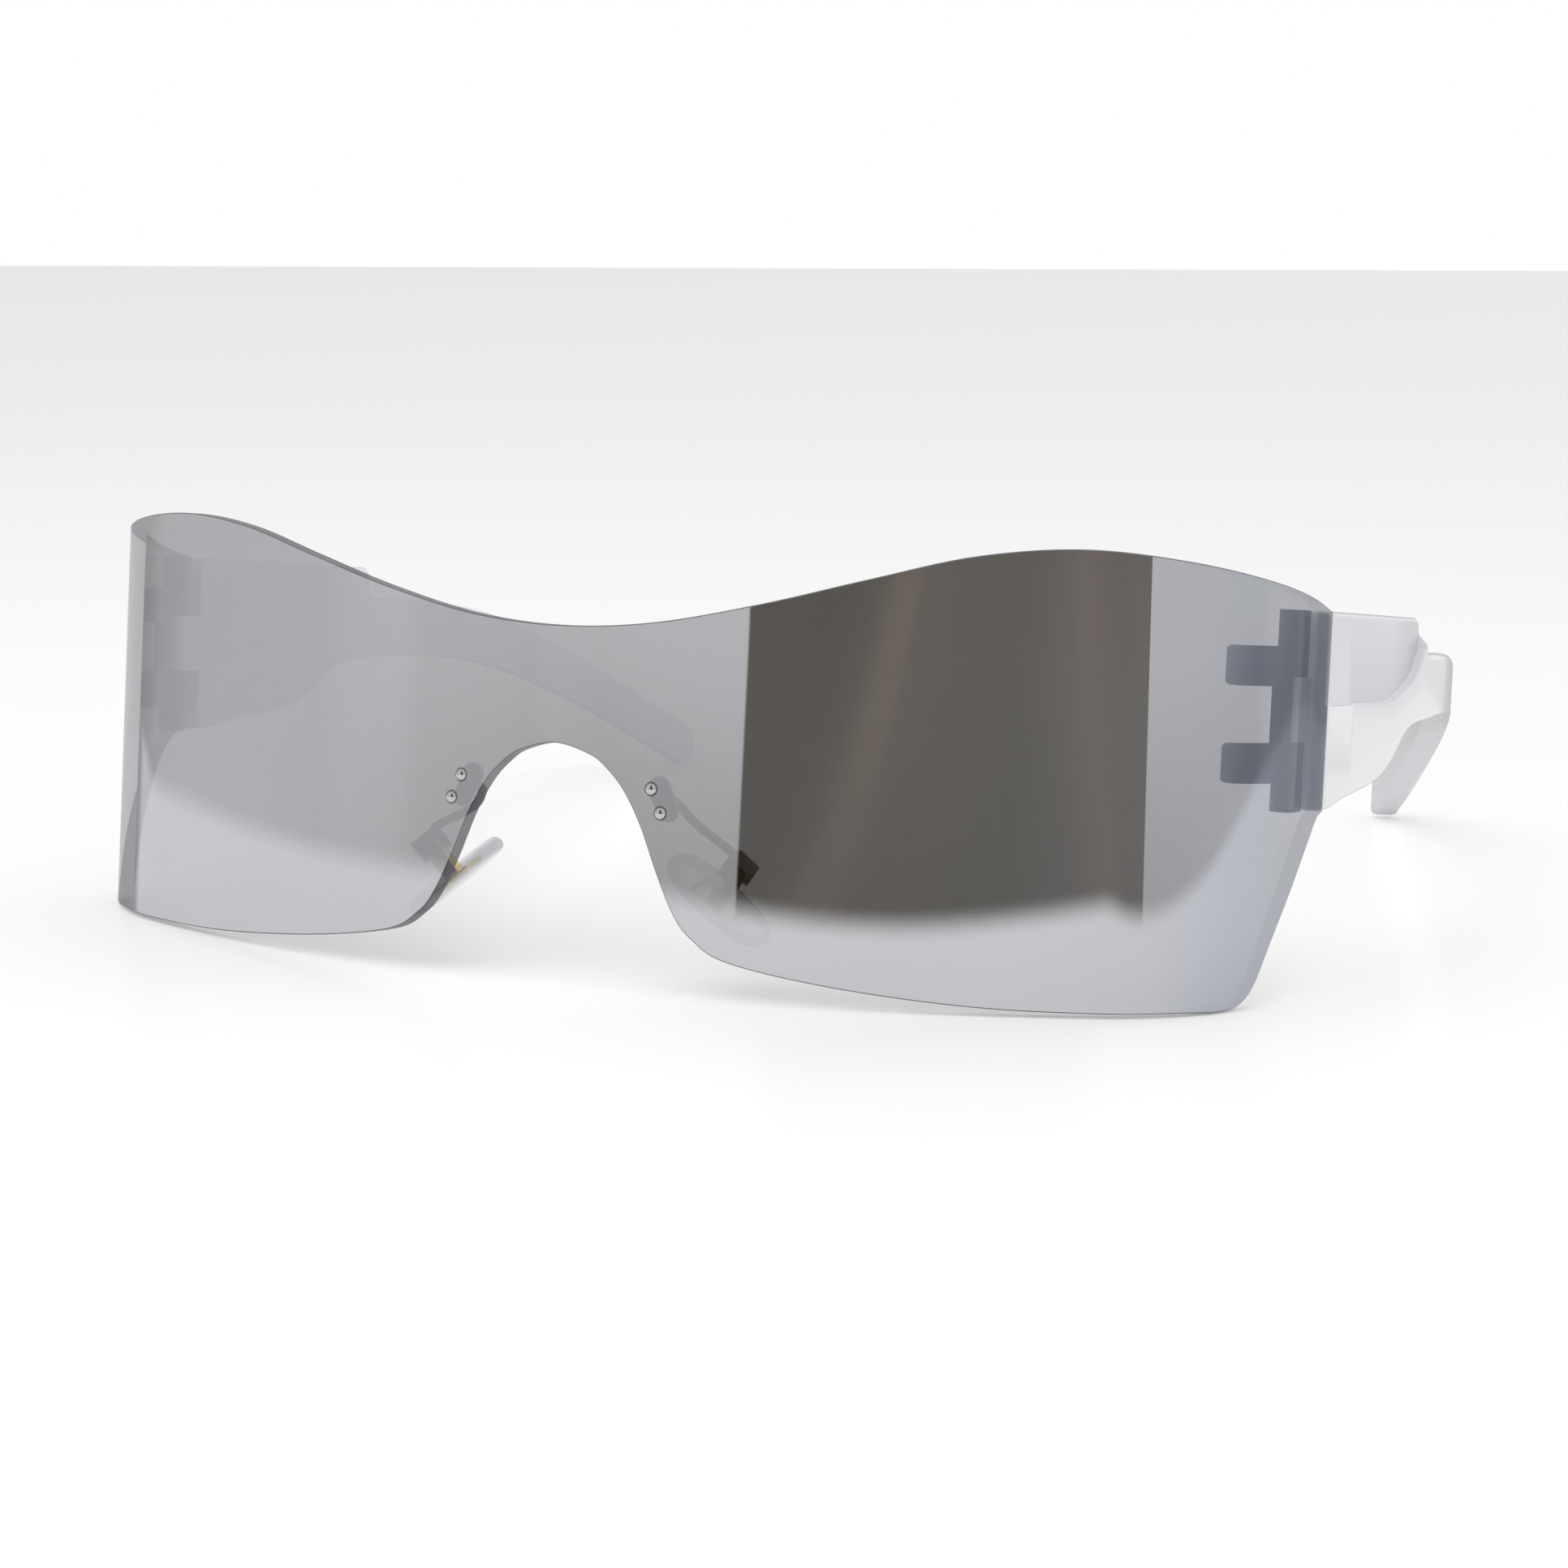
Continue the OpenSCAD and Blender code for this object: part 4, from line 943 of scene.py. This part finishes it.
def turned(profile, name, around=48, ring=False):
    """A part turned from a profile of radius and depth, about the depth axis."""
    bm = bmesh.new()
    turns = [2 * pi * k / around for k in range(around)]
    loops = [[bm.verts.new((r * cos(turn), y, -r * sin(turn))) for turn in turns] for r, y in profile]
    bridge(bm, loops + loops[:1] if ring else loops)
    bmesh.ops.remove_doubles(bm, verts=bm.verts, dist=0.0001)
    bmesh.ops.recalc_face_normals(bm, faces=bm.faces)
    return mesh_of(bm, name)


def pair_tree():
    """Geometry Nodes that set a part at both places of a slanted pair."""
    tree, given = begin_tree("slanted_pair", "Pitch", "Slant")
    ends = join(tree, "GeometryNodeMeshLine", mode="END_POINTS")
    ends.inputs["Count"].default_value = 2
    half = sums(tree, "MULTIPLY", given["Pitch"], 0.5)
    below = sums(tree, "MULTIPLY", half, -1.0)
    for height, socket in ((below, "Start Location"), (half, "Offset")):
        place = join(tree, "ShaderNodeCombineXYZ", 0.0, 0.0, height).outputs[0]
        tree.links.new(place, ends.inputs[socket])
    turned_by = join(tree, "ShaderNodeCombineXYZ", 0.0, given["Slant"], 0.0).outputs[0]
    slanted = join(tree, "GeometryNodeTransform", ends.outputs[0])
    tree.links.new(turned_by, slanted.inputs["Rotation"])
    placed = join(tree, "GeometryNodeInstanceOnPoints", slanted.outputs[0])
    tree.links.new(given["Geometry"], placed.inputs["Instance"])
    return end_tree(tree, placed.outputs[0], given["Material"])


def on_lens(run, height):
    """Place on the lens: x along it, y into it from its front face, z up."""
    x, y = bend_point(run, 0)
    inward = Vector(bend_point(run, 1)) - Vector((x, y))
    return Matrix.Translation((x, y, height)) @ Matrix.Rotation(atan2(-inward.x, inward.y), 4, "Z")


def pair_of(part, material):
    """Mesh of two like parts at the rivet places of the left side."""
    maker = plain_object("pair_maker", part)
    nodes = maker.modifiers.new("pair", "NODES")
    nodes.node_group = slanted_pair
    give_inputs(nodes, {"Pitch": rivet_pitch, "Slant": -rivet_slant, "Material": material})
    mesh = result_of(maker)
    mesh.transform(on_lens(rivet_run, -rivet_drop))
    return crease(mesh, radians(40))


slanted_pair = pair_tree()
clear_nylon = tinted("clear_nylon", (0.8, 0.82, 0.84), (0.86, 0.88, 0.9),
    alpha=0.15, roughness=0.12, cells=400.0)
bright = turned_metal("polished_studs", (0.6, 0.59, 0.575), roughness=0.12)
sleeve_mesh = pair_of(turned(sleeve_profile, "sleeve", ring=True), clear_nylon)
stud_mesh = pair_of(turned(stud_profile, "stud"), bright)
for hand, side in sides.items():
    settle(f"sleeves_{hand}", sleeve_mesh, "front", clear_nylon, f"lens_sleeves_{hand}", side)
    settle(f"studs_{hand}", stud_mesh, "front", bright, f"lens_rivets_{hand}", side)

# Rivet plates
# Bean-shaped plates, stamped from gunmetal sheet. Each lies on the back of the lens, and
# its two studs are riveted over behind it.
plate_round = 0.1
gunmetal = turned_metal("gunmetal", (0.17, 0.17, 0.18), roughness=0.16)
for hand in sides:
    refine(f"rivet_plate_{hand}", f"rivet_plate_{hand}_metal", plate_round, "front", gunmetal)

# Pad arms
# Gunmetal wire, bent from each rivet plate back, out and down to the pad's box,
# and brazed at both ends.
wire_d, wire_back, wire_out, wire_fall = 0.95, 3.1, 1.8, 2.6
wire_shares = ((0, 0, 0), (0, 0.55, 0.04), (0.12, 1, 0.3), (1, 1.3, 1))
# The left pad's pivot, and its turns, in degrees, about the upright, the front-to-back and
# its own long axis
pivot, pad_turns = Vector((18.6, 6.9, -17.4)), ((4.5, "Z"), (37.5, "Y"), (16.5, "X"))
pad_turn = Matrix.Identity(4)
for degrees, axis in pad_turns:
    pad_turn = pad_turn @ Matrix.Rotation(radians(degrees), 4, axis)
at_pivot = Matrix.Translation(pivot) @ pad_turn
boss_w, box_w, box_wall = 1.9, 2.8, 0.45
box_back = boss_w / 2 + side_gap
wire_foot = bend_point(rivet_run, plate_rear)
wire_end = at_pivot @ Vector((-box_w / 2, 0, box_back + box_wall / 2))
pad_along = pad_turn.to_3x3() @ Vector((1, 0, 0))


def wire_tree():
    """Geometry Nodes that draw a round wire along a path."""
    tree, given = begin_tree("round_wire", "Wire diameter")
    line_of = join(tree, "GeometryNodeMeshToCurve", given["Geometry"])
    section = join(tree, "GeometryNodeCurvePrimitiveCircle")
    section.inputs["Resolution"].default_value = 24
    tree.links.new(sums(tree, "MULTIPLY", given["Wire diameter"], 0.5), section.inputs["Radius"])
    drawn = join(tree, "GeometryNodeCurveToMesh", line_of.outputs[0], section.outputs[0])
    drawn.inputs["Fill Caps"].default_value = True
    return end_tree(tree, drawn.outputs[0], given["Material"])


wire_points = [
    (wire_foot[0] + a * wire_out, wire_foot[1] + b * wire_back, -rivet_drop - c * wire_fall)
    for a, b, c in wire_shares
] + [wire_end - wire_d * pad_along, wire_end]
wire_path = smooth_line(wire_points, level=False, spans=16)
path_mesh = bpy.data.meshes.new("wire_path")
path_mesh.from_pydata(wire_path, [(k, k + 1) for k in range(len(wire_path) - 1)], [])
wire_maker = plain_object("wire_maker", path_mesh)
nodes = wire_maker.modifiers.new("wire", "NODES")
nodes.node_group = wire_tree()
give_inputs(nodes, {"Wire diameter": wire_d, "Material": gunmetal})
wire_mesh = crease(result_of(wire_maker), radians(40))
for hand, side in sides.items():
    settle(f"pad_arm_{hand}_wire", wire_mesh, "front", gunmetal, f"pad_arm_{hand}", side)

# Pad boxes and pad screws
# Each wire ends in a folded gunmetal box, and a small slotted screw through its
# cheeks lets the pad rock.
box_round = 0.2
for hand in sides:
    refine(f"pad_box_{hand}", f"pad_box_{hand}_metal", box_round, "front", gunmetal)
    refine(f"pad_screw_{hand}", f"pad_screw_{hand}_steel", screw_round, "front", steel)

# Nose pads
# Soft clear ovals, moulded over a gold-coloured metal loop whose boss goes up into
# the box. The skin side is crowned, and the edge is fully round.
pad_len, pad_w, pad_t, pad_reach = 13.6, 7, 2.1, 4.3
pad_power, pad_crown, loop_round = 2.4, 0.2, 0.06
# Rings over each face, from its middle to its edge, and degrees from ring to ring round the edge
face_shares, edge_turn = (0.02, 0.25, 0.5, 0.75), 15


def pad_ring(inset, height, count=64):
    """Ring of the pad's oval, set in from its edge, at a height along its thickness."""
    ring = []
    for k in range(count):
        c, s = cos(2 * pi * k / count), sin(2 * pi * k / count)
        x = (pad_len / 2 - inset) * np.sign(c) * abs(c) ** (2 / pad_power)
        y = (pad_w / 2 - inset) * np.sign(s) * abs(s) ** (2 / pad_power)
        ring.append(at_pivot @ Vector((x, y, height - pad_reach)))
    return ring


def pad_rings():
    """Rings from the middle of the skin side, round the edge, to the middle of the back."""
    rim = pad_t / 2
    widest = pad_w / 2 - rim
    skin = [pad_ring(rim + widest * (1 - share), -rim + pad_crown * share * share) for share in face_shares]
    edge = [
        pad_ring(rim * (1 - cos(radians(a))), (rim - (pad_crown if a < 0 else 0)) * sin(radians(a)))
        for a in range(-90, 91, edge_turn)
    ]
    back = [pad_ring(rim + widest * (1 - share), rim) for share in face_shares[::-1]]
    return skin + edge + back


brass = turned_metal("gold_loop", (0.86, 0.66, 0.26), roughness=0.22)
# The pad is clear in its middle. Towards its rim it is painted denser and greyer, a painted
# refraction of the dark room that its round edge would bend into view
middle_alpha, rim_alpha, rim_painted_tone, rim_from = 0.16, 0.55, (0.6, 0.62, 0.68, 1), 0.7
silicone = tinted("clear_silicone", (0.8, 0.82, 0.84), (0.85, 0.87, 0.89),
    alpha=middle_alpha, roughness=0.1, cells=400.0)
tree = silicone.node_tree
to_rim = join(tree, "ShaderNodeAttribute", attribute_name="to_rim").outputs["Fac"]
at_rim = step(tree, to_rim, rim_from, 1.0)
# Painted refraction: the rim is made denser and greyer than the clear middle
thick = join(tree, "ShaderNodeMapRange", at_rim, 0.0, 1.0, middle_alpha, rim_alpha)
clear = tree.nodes["Principled BSDF"].inputs
tree.links.new(thick.outputs["Result"], clear["Alpha"])
tree.links.new(mixed(tree, at_rim, clear["Base Color"].links[0].from_socket, rim_painted_tone), clear["Base Color"])
pad_mesh = crease(skin_over(pad_rings(), "pad"), radians(60))
outward = pad_mesh.attributes.new("to_rim", "FLOAT", "POINT").data
for vertex in pad_mesh.vertices:
    x, y, z = at_pivot.inverted() @ vertex.co
    outward[vertex.index].value = abs(2 * x / pad_len) ** pad_power + abs(2 * y / pad_w) ** pad_power
for hand, side in sides.items():
    refine(f"pad_insert_{hand}", f"pad_loop_{hand}", loop_round, f"pad_{hand}", brass)
    settle(f"nose_pad_{hand}_soft", pad_mesh, f"pad_{hand}", silicone, f"nose_pad_{hand}", side)
